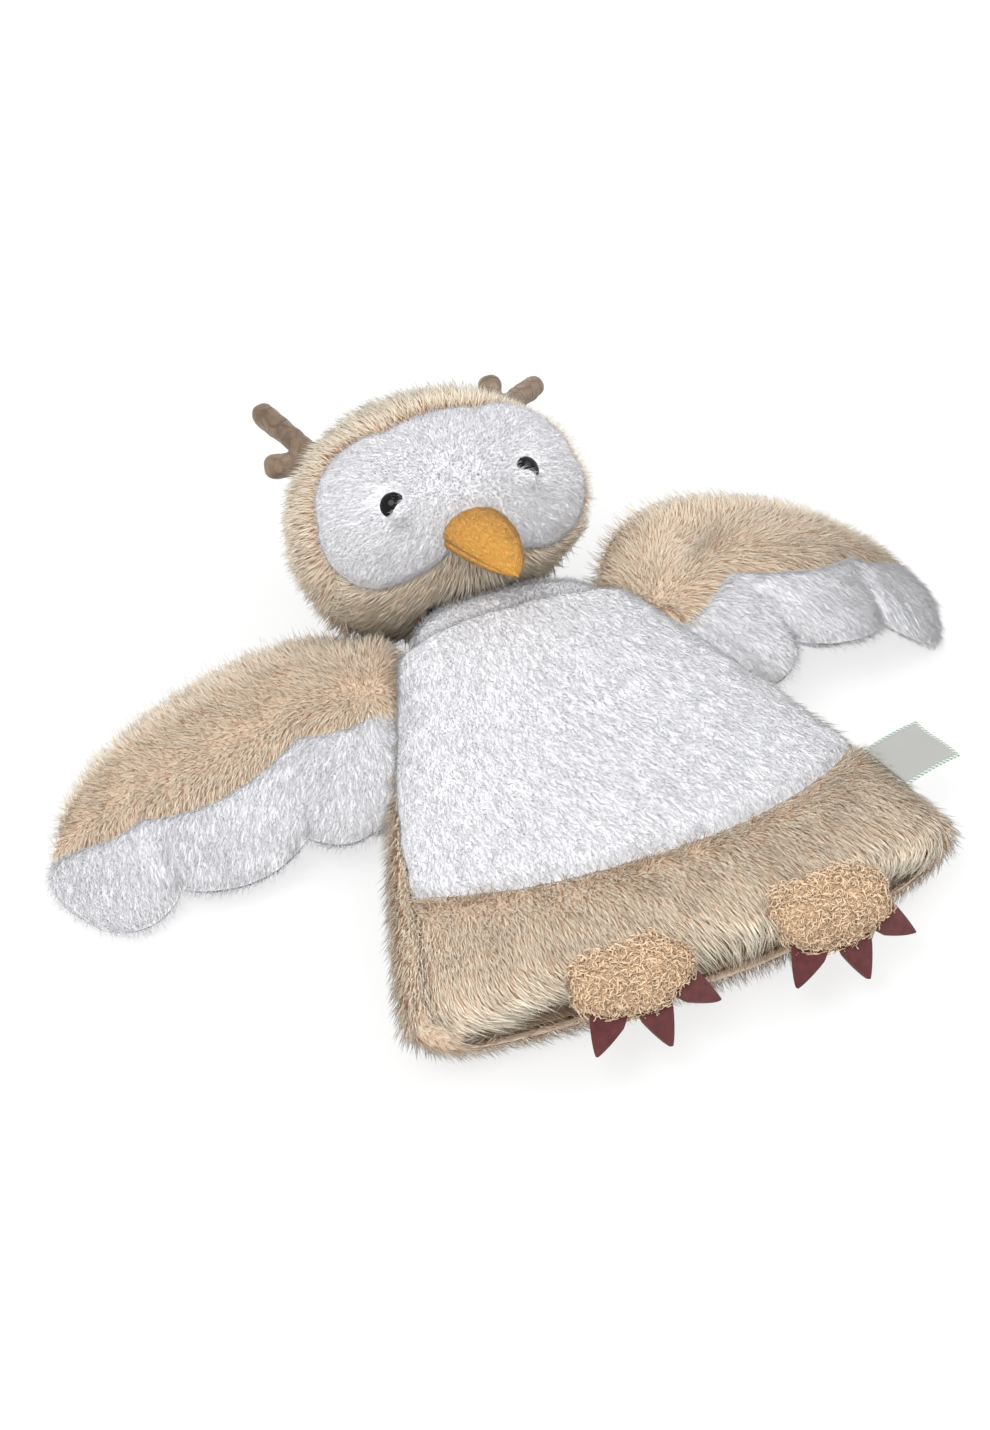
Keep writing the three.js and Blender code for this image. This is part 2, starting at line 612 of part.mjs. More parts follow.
function wing(side, name, pose) {
  const mirror = (p) => v3(p.x * side, p.y, p.z);
  const panel = (face, from, to, stepsT) => {
    const at = (inset) => (a, b) => mirror(wingPoint(face, a, mix(from(a), to(a), b), inset, pose));
    return solidOf(closedSheet(wingSteps, stepsT, at(0), at(wingSkin)));
  };
  const seamAt = (a) => featherLine(Math.max(0, (a - rollShare) / (1 - rollShare)));
  const half = seamGap / (wingSeamLow + wingSeamHigh);
  const coverts = panel(1, () => 0, (a) => seamAt(a) - half, 4);
  const feathers = panel(1, (a) => seamAt(a) + half, () => 1, 4);
  const under = panel(-1, () => 0, () => 1, 8);
  const inner = wingSkin + 4 * seamGap;
  const stuffed = (face) => (a, b) =>
    mirror(wingPoint(face, waddingLength * a, mix(...waddingSpan, b), inner, pose));
  const wadding = solidOf(closedSheet(wingSteps, 6, stuffed(1), stuffed(-1)));

  // The finger pocket runs out along X from the armhole and rises with the wing.
  const reach = pocketDepth + wingRootRadius + shoulderGap + (sideSlope * pocketWidth) / 2 + 2 * seamGap;
  const rise = wingMiddleZ(pocketDepth / (wingReach - shoulder.x), pose) - wingAxisZ;
  const slope = Math.atan2(rise, reach);
  const pocketForm = (grow, shorter) => {
    const length = reach - shorter;
    const sized = [length, pocketWidth + 2 * grow, pocketHeight + 2 * grow];
    const form = new THREE.BoxGeometry(...sized).translate(length / 2, 0, 0);
    if (side < 0) form.rotateZ(Math.PI);
    form.rotateY(-slope * side);
    return solidOf(form.translate(side * (shoulder.x - reach + pocketDepth), wingMidY, wingAxisZ));
  };
  const hole = pocketForm(0, 0);
  add(`${name}_wing_coverts`, coverts.subtract(hole), materials.longFur);
  add(`${name}_wing_feathers`, feathers.subtract(hole), materials.whitePlush);
  add(`${name}_wing_underside`, under.subtract(hole), materials.whitePlush);
  add(`${name}_wing_wadding`, wadding.subtract(hole), materials.wadding);
  const cup = pocketForm(-seamGap, seamGap);
  const hollow = pocketForm(-seamGap - pocketWall, seamGap + pocketWall);
  const bodySide = solidOf(sideBlock(side));
  add(`${name}_wing_pocket`, cup.subtract(hollow).subtract(bodySide), materials.lining);
}

// What a wing's pocket may not reach into: the body and the running gap beside it.
function sideBlock(side) {
  const size = 4 * hemHalfWidth;
  const block = new THREE.BoxGeometry(size, size, size).translate(-size / 2 - wingRootRadius * 0.9, 0, 0);
  block.rotateZ(Math.atan2(outDirection.y, outDirection.x)).translate(shoulder.x, shoulder.y, 0);
  if (side > 0) return block;
  return block.rotateY(Math.PI);
}

// Feet, in a frame at the rear edge: -Y runs to the toes. The rear edge lies on the hem band.
function footHinge(side) {
  const x = side * footX + footShift;
  const share = (x - hemShift) / bodyHalfWidth(hemY);
  const edge = bodyPoint(Math.acos(power(share, sectionPower / 2)), hemY, 0);
  return v3(x, edge.y + footOverlap, edge.z + footRise);
}

function clawShape(grow) {
  const shape = new THREE.Shape();
  const half = clawHalfWidth + grow;
  shape.moveTo(-half * 0.6, clawInset + grow);
  shape.quadraticCurveTo(-half * 1.15, 0, 0, clawInset - clawLength - grow);
  shape.quadraticCurveTo(half * 1.15, 0, half * 0.6, clawInset + grow);
  shape.closePath();
  const depth = clawThickness + 2 * grow;
  return new THREE.ExtrudeGeometry(shape, { depth, bevelEnabled: false, curveSegments: 4 })
    .translate(0, 0, -depth / 2);
}

function foot(side, name) {
  const group = new THREE.Group();
  group.position.copy(footHinge(side));
  group.rotation.x = radians(footDrop);
  group.updateMatrixWorld(true);
  puppet.add(group);
  const intoFoot = group.matrixWorld.clone().invert();
  const pad = (inset) =>
    solidOf(
      ball(footHalfWidth - inset, footHalfLength - inset, footHalfHeight - inset, ...footFacets)
        .translate(0, -footHalfLength, 0),
    );

  // The foot lies over the hem's front edge and stays out of the hand opening.
  const edge = bodyTube(-seamGap, hemHeight / 2 - flatDepth);
  const ahead = edge.translate([0, -2 * seamGap, 0]);
  const hem = edge.add(ahead).transform(intoFoot.elements);

  const claws = [-1, 0, 1].map((step) => {
    const turn = radians(clawFan * step);
    const place = (grow) =>
      solidOf(
        clawShape(grow)
          .rotateX(radians(clawDrop))
          .rotateZ(turn)
          .translate(
            Math.sin(turn) * (footHalfWidth - clawIn),
            -footHalfLength - Math.cos(turn) * (footHalfLength - clawIn),
            soleLevel,
          ),
      );
    return place;
  });
  let cut = hem;
  for (const place of claws) cut = cut.add(place(seamGap));
  const big = 4 * footHalfWidth;
  const halfSpace = (sign) => box(big, big, big, 0, 0, (sign * (big + seamGap)) / 2 + soleLevel);
  const skin = pad(0).subtract(pad(footWall));
  const notched = (solid) => solid.subtract(cut);
  add(`${name}_foot_upper`, notched(skin.intersect(halfSpace(1))), materials.curlyPlush, group);
  add(`${name}_foot_sole`, notched(skin.intersect(halfSpace(-1))), materials.curlyPlush, group);
  add(`${name}_foot_filling`, notched(pad(footWall + seamGap)), materials.wadding, group);
  const names = ["outer", "middle", "inner"];
  claws.forEach((place, i) => {
    const which = side > 0 ? names[2 - i] : names[i];
    add(`${name}_${which}_claw`, place(0), materials.felt, group);
  });
}

// Label: a strip sewn in the side seam, standing straight out from the body's side. Its root lies
// against the seam's outermost point along its width.
function label() {
  const seamPoint = (along) => bodyPoint(seamAngle, labelY + along * labelWidth, 0);
  const middle = seamPoint(0);
  const bulges = [-0.6, -0.3, 0, 0.3, 0.6].map((k) => seamPoint(k).sub(middle).dot(outDirection));
  const strip = new THREE.BoxGeometry(labelLength, labelWidth, labelThickness);
  strip.translate(labelLength / 2 + Math.max(...bulges) + seamGap, 0, labelThickness / 2);
  const mesh = new THREE.Mesh(strip, materials.ribbon);
  mesh.name = "seam_label";
  mesh.position.copy(middle);
  mesh.rotation.z = Math.atan2(outDirection.y, outDirection.x);
  puppet.add(mesh);
}

body();
collar();
buildHead();
wing(-1, "right", rightWing);
wing(1, "left", leftWing);
foot(-1, "right");
foot(1, "left");
label();

export default puppet;
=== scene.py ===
import json
from math import acos, asin, atan2, copysign, cos, exp, hypot, pi, radians, sin, sqrt, tau
import bmesh
import bpy
from mathutils import Matrix, Vector, noise


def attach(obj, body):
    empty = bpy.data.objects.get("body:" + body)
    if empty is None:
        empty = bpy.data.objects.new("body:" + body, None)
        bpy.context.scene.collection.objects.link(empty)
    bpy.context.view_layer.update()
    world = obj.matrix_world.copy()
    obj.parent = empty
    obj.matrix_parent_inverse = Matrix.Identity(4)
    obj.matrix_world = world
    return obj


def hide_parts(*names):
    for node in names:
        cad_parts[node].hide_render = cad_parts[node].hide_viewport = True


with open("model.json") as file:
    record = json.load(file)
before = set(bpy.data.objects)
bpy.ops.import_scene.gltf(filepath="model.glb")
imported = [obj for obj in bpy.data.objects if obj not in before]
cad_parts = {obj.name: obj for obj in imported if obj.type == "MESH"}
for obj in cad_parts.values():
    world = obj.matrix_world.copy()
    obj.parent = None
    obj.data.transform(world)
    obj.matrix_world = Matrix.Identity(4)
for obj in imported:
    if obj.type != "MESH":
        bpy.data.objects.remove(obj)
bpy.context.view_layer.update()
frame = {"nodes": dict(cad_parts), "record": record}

# The table under the puppet, the soft light of a photographer's tent, and the camera, which looks
# down on the belly from beyond the feet. Lengths below are millimetres, made metres in the meshes.
MM = 0.001
scene = bpy.context.scene
LOOKED_AT = Vector((-17.3, 54.7, 20))
CAMERA_FAR_M = 1.2
TABLE_HALF_M, TABLE_TOP_M = 5, -0.0003


def placed(name, data):
    obj = bpy.data.objects.new(name, data)
    scene.collection.objects.link(obj)
    return obj


azimuth, elevation, roll = (radians(angle) for angle in (-23, 41.5, -0.7))
towards_camera = Vector((
    sin(azimuth) * cos(elevation),
    -cos(azimuth) * cos(elevation),
    sin(elevation),
))
level = Vector((0, 0, 1)).cross(towards_camera).normalized()
upright = towards_camera.cross(level)
across = level * cos(roll) + upright * sin(roll)
above = upright * cos(roll) - level * sin(roll)
camera = placed("camera", bpy.data.cameras.new("camera"))
camera.data.lens = 79.15
camera.data.clip_start = 0.05
camera.matrix_world = Matrix.Translation(LOOKED_AT * MM + towards_camera * CAMERA_FAR_M) @ Matrix(
    (across, above, towards_camera)).transposed().to_4x4()
scene.camera = camera
scene.view_settings.view_transform = "Standard"


def add_node(tree, kind, inputs=(), **settings):
    """A node with its settings, and its inputs set to values or linked to other nodes' outputs."""
    new = tree.nodes.new(kind)
    for key, value in settings.items():
        setattr(new, key, value)
    for name, value in dict(inputs).items():
        if isinstance(name, str):
            socket = next(s for s in new.inputs if s.enabled and s.name == name)
        else:
            socket = new.inputs[name]
        if isinstance(value, bpy.types.NodeSocket):
            tree.links.new(value, socket)
        else:
            socket.default_value = value
    return new


def out(node):
    """The first output that the node has in use."""
    return next(s for s in node.outputs if s.enabled)


def maths(tree, operation, *inputs):
    return out(add_node(tree, "ShaderNodeMath", dict(enumerate(inputs)), operation=operation))


def new_material(name):
    material = bpy.data.materials.new(name)
    material.use_nodes = True
    material.node_tree.nodes.clear()
    return material, material.node_tree


def seen_white(tree, lit, output, share):
    """The lit shader, with a share of plain white for what the camera or a reflection sees."""
    path = add_node(tree, "ShaderNodeLightPath")
    seen = path.outputs["Is Camera Ray"]
    for other in ("Is Glossy Ray", "Is Transmission Ray"):
        seen = maths(tree, "MAXIMUM", seen, path.outputs[other])
    seen = maths(tree, "MULTIPLY", seen, share)
    plain = "ShaderNodeBackground" if output.bl_idname == "ShaderNodeOutputWorld" else "ShaderNodeEmission"
    white = add_node(tree, plain, {"Color": (1, 1, 1, 1), "Strength": 1.0})
    mixed = add_node(tree, "ShaderNodeMixShader", {0: seen, 1: lit.outputs[0], 2: white.outputs[0]})
    tree.links.new(mixed.outputs[0], output.inputs["Surface"])


table_material, tree = new_material("table_paper")
paper = add_node(tree, "ShaderNodeBsdfDiffuse", {"Color": (0.93, 0.93, 0.93, 1)})
seen_white(tree, paper, add_node(tree, "ShaderNodeOutputMaterial"), 0.75)
table_mesh = bpy.data.meshes.new("table")
table_corners = ((-1, -1), (1, -1), (1, 1), (-1, 1))
table_points = [(x * TABLE_HALF_M, y * TABLE_HALF_M, TABLE_TOP_M) for x, y in table_corners]
table_mesh.from_pydata(table_points, [], [(0, 1, 2, 3)])
table_mesh.materials.append(table_material)
placed("table", table_mesh)

tent = bpy.data.worlds.new("tent")
tent.use_nodes = True
tent.node_tree.nodes.clear()
walls = add_node(tent.node_tree, "ShaderNodeBackground", {"Color": (1, 1, 1, 1), "Strength": 0.95})
seen_white(tent.node_tree, walls, add_node(tent.node_tree, "ShaderNodeOutputWorld"), 1.0)
scene.world = tent


def soft_lamp(name, place_m, size_m, watts):
    """A round lamp that is turned towards the puppet."""
    lamp = bpy.data.lights.new(name, "AREA")
    lamp.shape = "DISK"
    lamp.size = size_m
    lamp.energy = watts
    facing = Vector(place_m).to_track_quat("Z", "Y").to_matrix().to_4x4()
    placed(name, lamp).matrix_world = Matrix.Translation(place_m) @ facing


soft_lamp("key", (-0.9, -0.5, 1.7), 1.1, 15)
soft_lamp("fill", (1.1, -0.1, 1.4), 1.2, 7)


# Hood: the long beige fur of the head's back, crown and cheeks. It is the cover of a stuffed ball,
# knitted cloth with its pile combed back from the face, and it ends at the face's two panels.
HEAD_SIZE = (66, 49, 48)
HEAD_ARC = 52
head_place = Matrix.Translation((-1, 152, 47.95)) @ Matrix.Rotation(radians(42), 4, "X")
NECK = Vector((0, 98, 25))
COLLAR = (38, 19, 19)
MASK_OVALS = ((28.5, -1.5, 31, 33), (-28, -1, 30, 32), (0, 7.5, 42, 26))
CHIN_OVAL = (0, -37, 53, 29)
HOOD_DEPTH = 7.5
ROUND = 150
CLOTH_LOWEST = 1.5
UNDERSIDE = 4
PANEL_STEPS = 300


def mix(a, b, share):
    return a + (b - a) * share


def clamp(share):
    return min(1, max(0, share))


def head_point(turn, down, inset):
    """A point of the stuffed head: down is the angle from the middle of the face, turn goes round it."""
    size = [half - inset for half in HEAD_SIZE]
    below = max(0, -sin(turn))
    cheek = 1 + 0.13 * below ** 0.7
    jowl = 1 + 0.45 * below ** 0.5 * max(0, -cos(turn)) * clamp((down - 0.9) / 0.7)
    point = head_place @ Vector((
        size[0] * cheek * sin(down) * cos(turn),
        size[1] * jowl * sin(down) * sin(turn),
        size[2] * cos(down),
    ))
    point.z = max(point.z, CLOTH_LOWEST)
    return point


def panel_edge(turn, ovals):
    """How far down from the middle of the face a panel reaches, which is cut as a set of ovals."""
    last = 0
    for k in range(1, PANEL_STEPS + 1):
        x = HEAD_SIZE[0] * k / PANEL_STEPS * cos(turn)
        y = HEAD_SIZE[1] * k / PANEL_STEPS * sin(turn)
        if any(((x - cx) / half_w) ** 2 + ((y - cy) / half_h) ** 2 < 1 for cx, cy, half_w, half_h in ovals):
            last = k / PANEL_STEPS
    return asin(last)


def in_collar(point, grow):
    """Whether the neck roll, grown all round, holds the point."""
    return sum(((point - NECK)[k] / (COLLAR[k] + grow)) ** 2 for k in range(3)) < 1


def ring(radius, height, sides):
    angles = [tau * i / sides for i in range(sides)]
    return [Vector((radius * cos(angle), radius * sin(angle), height)) for angle in angles]


def net(rows, columns, wide):
    """The quads between rows of points. Rows that are as wide as their columns close into rings."""
    return [
        (j * wide + i, j * wide + (i + 1) % wide, (j + 1) * wide + (i + 1) % wide, (j + 1) * wide + i)
        for j in range(rows) for i in range(columns)
    ]


def sewn(name, points, faces):
    """A mesh in metres from points in millimetres."""
    mesh = bpy.data.meshes.new(name)
    mesh.from_pydata([point * MM for point in points], [], faces)
    return mesh


def note(mesh, name, numbers):
    """Stores a number for each point of the mesh, or three where it is a direction."""
    way = len(numbers) == 3 * len(mesh.vertices)
    kept = mesh.attributes.new(name, "FLOAT_VECTOR" if way else "FLOAT", "POINT")
    kept.data.foreach_set("vector" if way else "value", numbers)


def knit(name, columns, rows, place, centre, nap, closed=False, keep=None, rumple=0):
    """The cloth under a pile, from place(u, v). nap(u, v, point) gives the way the pile is combed
    along u and v, how dense it grows and how long it is. Cloth that keep refuses is cut away, and
    rumple is how far it rises and falls."""
    wide = columns if closed else columns + 1
    points = [place(i / columns, j / rows) for j in range(rows + 1) for i in range(wide)]
    if rumple:
        points = [point + (point - centre).normalized() * noise.noise(point / 8) * rumple for point in points]
    faces = net(rows, columns, wide)
    if keep:
        faces = [face for face in faces if any(keep(points[k]) for k in face)]
    mesh = sewn(name, points, faces)
    outwards = sum(f.normal.dot(f.center - centre * MM) * f.area for f in mesh.polygons)
    if outwards < 0:
        mesh.flip_normals()

    def at(i, j):
        i = i % wide if closed else min(max(i, 0), wide - 1)
        return points[min(max(j, 0), rows) * wide + i]

    combs, grows, lengths = [], [], []
    for j in range(rows + 1):
        for i in range(wide):
            u_way, v_way, grow, length = nap(i / columns, j / rows, at(i, j))
            along_u = (at(i + 1, j) - at(i - 1, j)).normalized()
            combs.extend(along_u * u_way + (at(i, j + 1) - at(i, j - 1)).normalized() * v_way)
            grows.append(grow)
            lengths.append(length)
    note(mesh, "comb", combs)
    note(mesh, "grow", grows)
    note(mesh, "length", lengths)
    note(mesh, "shade", [0.4] * len(points))
    note(mesh, "tip", [0.5] * len(points))
    joined = bmesh.new()
    joined.from_mesh(mesh)
    bmesh.ops.remove_doubles(joined, verts=joined.verts, dist=0.01 * MM)
    joined.to_mesh(mesh)
    joined.free()
    mesh.shade_smooth()
    note(mesh, "facing", [c for vertex in mesh.vertices for c in vertex.normal])
    return placed(name, mesh)


def thread(name, points, tips, faces):
    """What a pile repeats, with the share of its length as 'tip'."""
    mesh = sewn(name, points, faces)
    note(mesh, "tip", tips)
    mesh.shade_smooth()
    return bpy.data.objects.new(name, mesh)


def hair(name, length, width, bend, rings):
    """One closed hair of three sides, thickest near its end, bent over towards +X."""
    points, tips = [], []
    for k in range(rings):
        share = k / rings
        bent = Vector((bend * length * share ** 2, 0, 0))
        points += [point + bent for point in ring(width / 2 * (0.75 + 0.5 * share), length * (share - 0.04), 3)]
        tips += [share] * 3
    top = 3 * (rings - 1)
    cap = [(top + i, top + (i + 1) % 3, top + 3) for i in range(3)]
    end = Vector((bend * length, 0, length))
    return thread(name, points + [end], tips + [1], [(2, 1, 0)] + net(rings - 1, 3, 3) + cap)


def vectors(tree, operation, *inputs):
    return out(add_node(tree, "ShaderNodeVectorMath", dict(enumerate(inputs)), operation=operation))


def scaled(tree, vector, factor):
    return out(add_node(tree, "ShaderNodeVectorMath", {0: vector, "Scale": factor}, operation="SCALE"))


def pile_tree():
    """Grows a pile on knitted cloth: hairs on random points, leaning with the comb and in tufts."""
    tree = bpy.data.node_groups.new("pile", "GeometryNodeTree")
    ask = {}
    for title, kind in (
        ("Cloth", "Geometry"), ("Hair", "Object"), ("Hairs per m2", "Float"), ("Lean", "Float"),
        ("Tuft width", "Float"), ("Tuft", "Float"), ("Frizz", "Float"), ("Twist", "Float"),
        ("Shortest", "Float"), ("Table", "Float"), ("Seed", "Int"), ("Finish", "Material"),
    ):
        ask[title] = tree.interface.new_socket(title, in_out="INPUT", socket_type="NodeSocket" + kind).identifier
    tree.interface.new_socket("Fur", in_out="OUTPUT", socket_type="NodeSocketGeometry")
    given = add_node(tree, "NodeGroupInput").outputs

    def attribute(name, kind):
        return out(add_node(tree, "GeometryNodeInputNamedAttribute", {"Name": name}, data_type=kind))

    def chance(kind, low, high, seed):
        return out(add_node(tree, "FunctionNodeRandomValue", {"Min": low, "Max": high, "Seed": seed}, data_type=kind))

    density = maths(tree, "MULTIPLY", given["Hairs per m2"], attribute("grow", "FLOAT"))
    spread = add_node(tree, "GeometryNodeDistributePointsOnFaces",
                      {"Mesh": given["Cloth"], "Density": density, "Seed": given["Seed"]})
    comb = attribute("comb", "FLOAT_VECTOR")
    position = add_node(tree, "GeometryNodeInputPosition").outputs[0]
    tuft_scale = maths(tree, "DIVIDE", 1.0, given["Tuft width"])
    tufts = add_node(tree, "ShaderNodeTexNoise", {"Vector": position, "Scale": tuft_scale, "Detail": 1.0})
    tuft_way = vectors(tree, "SUBTRACT", tufts.outputs["Color"], (0.5, 0.5, 0.5))
    any_way = chance("FLOAT_VECTOR", (-1, -1, -1), (1, 1, 1), 3)
    way = spread.outputs["Normal"]
    for pull, strength in ((comb, "Lean"), (tuft_way, "Tuft"), (any_way, "Frizz")):
        way = vectors(tree, "ADD", way, scaled(tree, pull, given[strength]))
    bent = vectors(tree, "ADD", comb, scaled(tree, any_way, given["Twist"]))
    turn = add_node(tree, "FunctionNodeAxesToRotation", {0: way, 1: bent}, primary_axis="Z", secondary_axis="X")
    size = maths(tree, "MULTIPLY", chance("FLOAT", given["Shortest"], 1.0, 5), attribute("length", "FLOAT"))
    one_hair = add_node(tree, "GeometryNodeObjectInfo", {"Object": given["Hair"]})
    hairs = add_node(tree, "GeometryNodeInstanceOnPoints", {
        "Points": spread.outputs["Points"], "Instance": one_hair.outputs["Geometry"],
        "Rotation": turn.outputs[0], "Scale": size,
    })
    shaded = add_node(tree, "GeometryNodeStoreNamedAttribute",
                      {"Geometry": hairs.outputs[0], "Name": "shade", "Value": chance("FLOAT", 0.0, 1.0, 7)},
                      data_type="FLOAT", domain="INSTANCE")
    real = add_node(tree, "GeometryNodeRealizeInstances", {"Geometry": shaded.outputs[0]})
    parts = add_node(tree, "ShaderNodeSeparateXYZ", {0: position})
    lying = maths(tree, "MAXIMUM", parts.outputs[2], given["Table"])
    pressed = add_node(tree, "ShaderNodeCombineXYZ", {0: parts.outputs[0], 1: parts.outputs[1], 2: lying})
    laid = add_node(tree, "GeometryNodeSetPosition", {"Geometry": real.outputs[0], "Position": pressed.outputs[0]})
    both = add_node(tree, "GeometryNodeJoinGeometry")
    tree.links.new(given["Cloth"], both.inputs[0])
    tree.links.new(laid.outputs[0], both.inputs[0])
    finished = add_node(tree, "GeometryNodeSetMaterial", {"Geometry": both.outputs[0], "Material": given["Finish"]})
    add_node(tree, "NodeGroupOutput", {0: finished.outputs[0]})
    return tree, ask


pile, pile_asks = pile_tree()


def grow_pile(cloth, one_hair, finish, per_mm2, lean, seed,
              tuft_width=8, tuft=0.6, frizz=0.35, twist=0.2, shortest=0.6):
    """Turns cloth into cloth with its pile, as one plain mesh."""
    scene.collection.objects.link(one_hair)
    growth = cloth.modifiers.new("pile", "NODES")
    growth.node_group = pile
    values = {
        "Hair": one_hair, "Hairs per m2": per_mm2 * 1e6, "Lean": lean, "Tuft width": tuft_width * MM, "Tuft": tuft,
        "Frizz": frizz, "Twist": twist, "Shortest": shortest, "Table": 0.3 * MM, "Seed": seed, "Finish": finish,
    }
    for title, value in values.items():
        growth[pile_asks[title]] = value
    depsgraph = bpy.context.evaluated_depsgraph_get()
    grown = cloth.evaluated_get(depsgraph)
    mesh = bpy.data.meshes.new_from_object(grown, preserve_all_data_layers=True, depsgraph=depsgraph)
    cloth.modifiers.clear()
    cloth.data = mesh
    for used in ("comb", "grow", "length"):
        mesh.attributes.remove(mesh.attributes[used])
    bpy.data.objects.remove(one_hair)


def colour(red, green, blue):
    """A colour as a dye card gives it, 0 to 255, made linear."""
    return [((c / 255 + 0.055) / 1.055) ** 2.4 if c > 10 else c / 255 / 12.92 for c in (red, green, blue)] + [1]


def dyed(tree, share, low, high):
    """A colour between two dyes."""
    inputs = {"Factor": share, 6: colour(*low), 7: colour(*high)}
    return add_node(tree, "ShaderNodeMix", inputs, data_type="RGBA").outputs[2]


def mapped(tree, value, low, high, to_low=0.0, to_high=1.0):
    ends = {"From Min": low, "From Max": high, "To Min": to_low, "To Max": to_high}
    return add_node(tree, "ShaderNodeMapRange", {"Value": value, **ends}).outputs[0]


def on_piece(tree):
    return add_node(tree, "ShaderNodeTexCoord").outputs["Object"]


def speckle(tree, scale, detail=2.0, roughness=0.5, distortion=0.0):
    inputs = {"Scale": scale, "Detail": detail, "Roughness": roughness, "Distortion": distortion}
    return add_node(tree, "ShaderNodeTexNoise", {"Vector": on_piece(tree), **inputs}).outputs[0]


def surfaced(tree, dye, roughness, normal=None, sheen=0.0, shine=0.5):
    """Ends a material in its surface."""
    inputs = {"Base Color": dye, "Roughness": roughness, "Sheen Weight": sheen, "Specular IOR Level": shine}
    if normal is not None:
        inputs["Normal"] = normal
    surface = add_node(tree, "ShaderNodeBsdfPrincipled", inputs)
    add_node(tree, "ShaderNodeOutputMaterial", {"Surface": surface.outputs[0]})


def pile_finish(name, root, tip, patch=0.2, patch_width=25, sheen=0.25, own_share=0.22):
    """Dyed pile: darker at the roots, with each hair a little different and slow patches of tone.
    A hair's outer side is lit as the cloth under it is, and its inner side as it lies."""
    material, tree = new_material(name)

    def noted(name, output="Fac"):
        return add_node(tree, "ShaderNodeAttribute", attribute_name=name).outputs[output]

    dye = dyed(tree, mapped(tree, noted("tip"), 0.05, 0.66), root, tip)
    tone = maths(tree, "ADD", noted("shade"), speckle(tree, 1000 / patch_width))
    tone = mapped(tree, tone, 0.3, 1.7, 1 - patch, 1 + patch / 2)
    facing = add_node(tree, "ShaderNodeVectorTransform", {0: noted("facing", "Vector")},
                      vector_type="NORMAL", convert_from="OBJECT", convert_to="WORLD").outputs[0]
    own = add_node(tree, "ShaderNodeNewGeometry").outputs["Normal"]
    outer = mapped(tree, vectors(tree, "DOT_PRODUCT", facing, own), -0.5, 0.1)
    soft = vectors(tree, "ADD", scaled(tree, facing, outer), scaled(tree, own, own_share))
    surfaced(tree, scaled(tree, dye, tone), 0.75, vectors(tree, "NORMALIZE", soft), sheen, 0.25)
    return material


def dress(piece, body, node):
    """Fixes a piece to its body in place of its node."""
    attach(piece, body)
    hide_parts(node)


def dipping(depth, at_edge, far_mm, width=5):
    """Depth of the cloth under the pile's surface, deeper where it is drawn in at a seam."""
    return depth + (at_edge - depth) * exp(-(far_mm / width) ** 2)


long_fur = pile_finish("long_fur", (242, 182, 134), (255, 244, 222), patch=0.24, patch_width=18)
hood_edges = [panel_edge(tau * k / ROUND, MASK_OVALS + (CHIN_OVAL,)) for k in range(ROUND)]


def hood_place(u, v):
    start = hood_edges[round(u * ROUND) % ROUND]
    down = start + (pi - start) * v
    return head_point(tau * u, down, dipping(HOOD_DEPTH, 8, (down - start) * HEAD_ARC))


def hood_nap(u, v, point):
    """Short by the +X horn's root and under the head, and long on the cheeks and the crown."""
    under = point.z < UNDERSIDE
    length = 0.75 if under else 0.8 + 0.2 * min(1, v * 8)
    flat = head_place.inverted() @ point
    length *= 1 - 0.5 * exp(-(((flat.x - 38) / 13) ** 2 + ((flat.y - 27) / 13) ** 2))
    length += 0.35 * clamp((-22 - flat.y) / 10) + 0.2 * clamp((flat.y - 18) / 10)
    combed = 1.6 if under else mix(0.1, 1, min(1, v * 16))
    dense = 0 if in_collar(point, 1) else (0.5 if under else 1)
    return 0, combed, dense, length


hood = knit("hood_fur", ROUND, 60, hood_place, head_place.translation, hood_nap, closed=True,
            keep=lambda point: not in_collar(point, 0.5))
grow_pile(hood, hair("fur_hair", 11.5, 0.42, 0.3, 2), long_fur, 1.2, 1.5, 11, tuft_width=7)
dress(hood, "head", "hood")


# Face mask: short white plush, cut with two rounded cheeks and a brow. It is sewn to the hood
# along its edge, which draws it in there, and it swells a little where an eye is pulled in.
white_plush = pile_finish("white_plush", (242, 242, 246), (251, 251, 254), patch=0.04, patch_width=18,
                          sheen=0.3, own_share=0.1)
MASK_DEPTH = 3.6
EYES = ((-29.5, -2.5), (29.5, -2.5))
EYE_SWELL = 4
mask_edges = [panel_edge(tau * k / ROUND, MASK_OVALS) for k in range(ROUND)]


def mask_place(u, v):
    edge = mask_edges[round(u * ROUND) % ROUND]
    down = v * edge
    depth = dipping(MASK_DEPTH, 4.8, (edge - down) * HEAD_ARC, 3)
    flat_x = HEAD_SIZE[0] * sin(down) * cos(tau * u)
    flat_y = HEAD_SIZE[1] * sin(down) * sin(tau * u)
    for x, y in EYES:
        away = hypot(flat_x - x * 0.88, flat_y - y + 3.4)
        depth -= EYE_SWELL * exp(-(away / 4) ** 2)
    return head_point(tau * u, down, depth)


def mask_nap(u, v, point):
    """Bare under the eyes and the beak, and short above each eye."""
    flat = head_place.inverted() @ point
    near = min(hypot(flat.x - x, flat.y - y - 1) for x, y in EYES)
    beak = ((flat.x / 12) ** 2 + ((flat.y + 20) / 9) ** 2) < 1
    out_way = hypot(flat.x, flat.y) / 40
    return 0, min(1, out_way), 0 if near < 3.8 or beak else 1, 0.7 if near < 8 and flat.y > -1 else 1


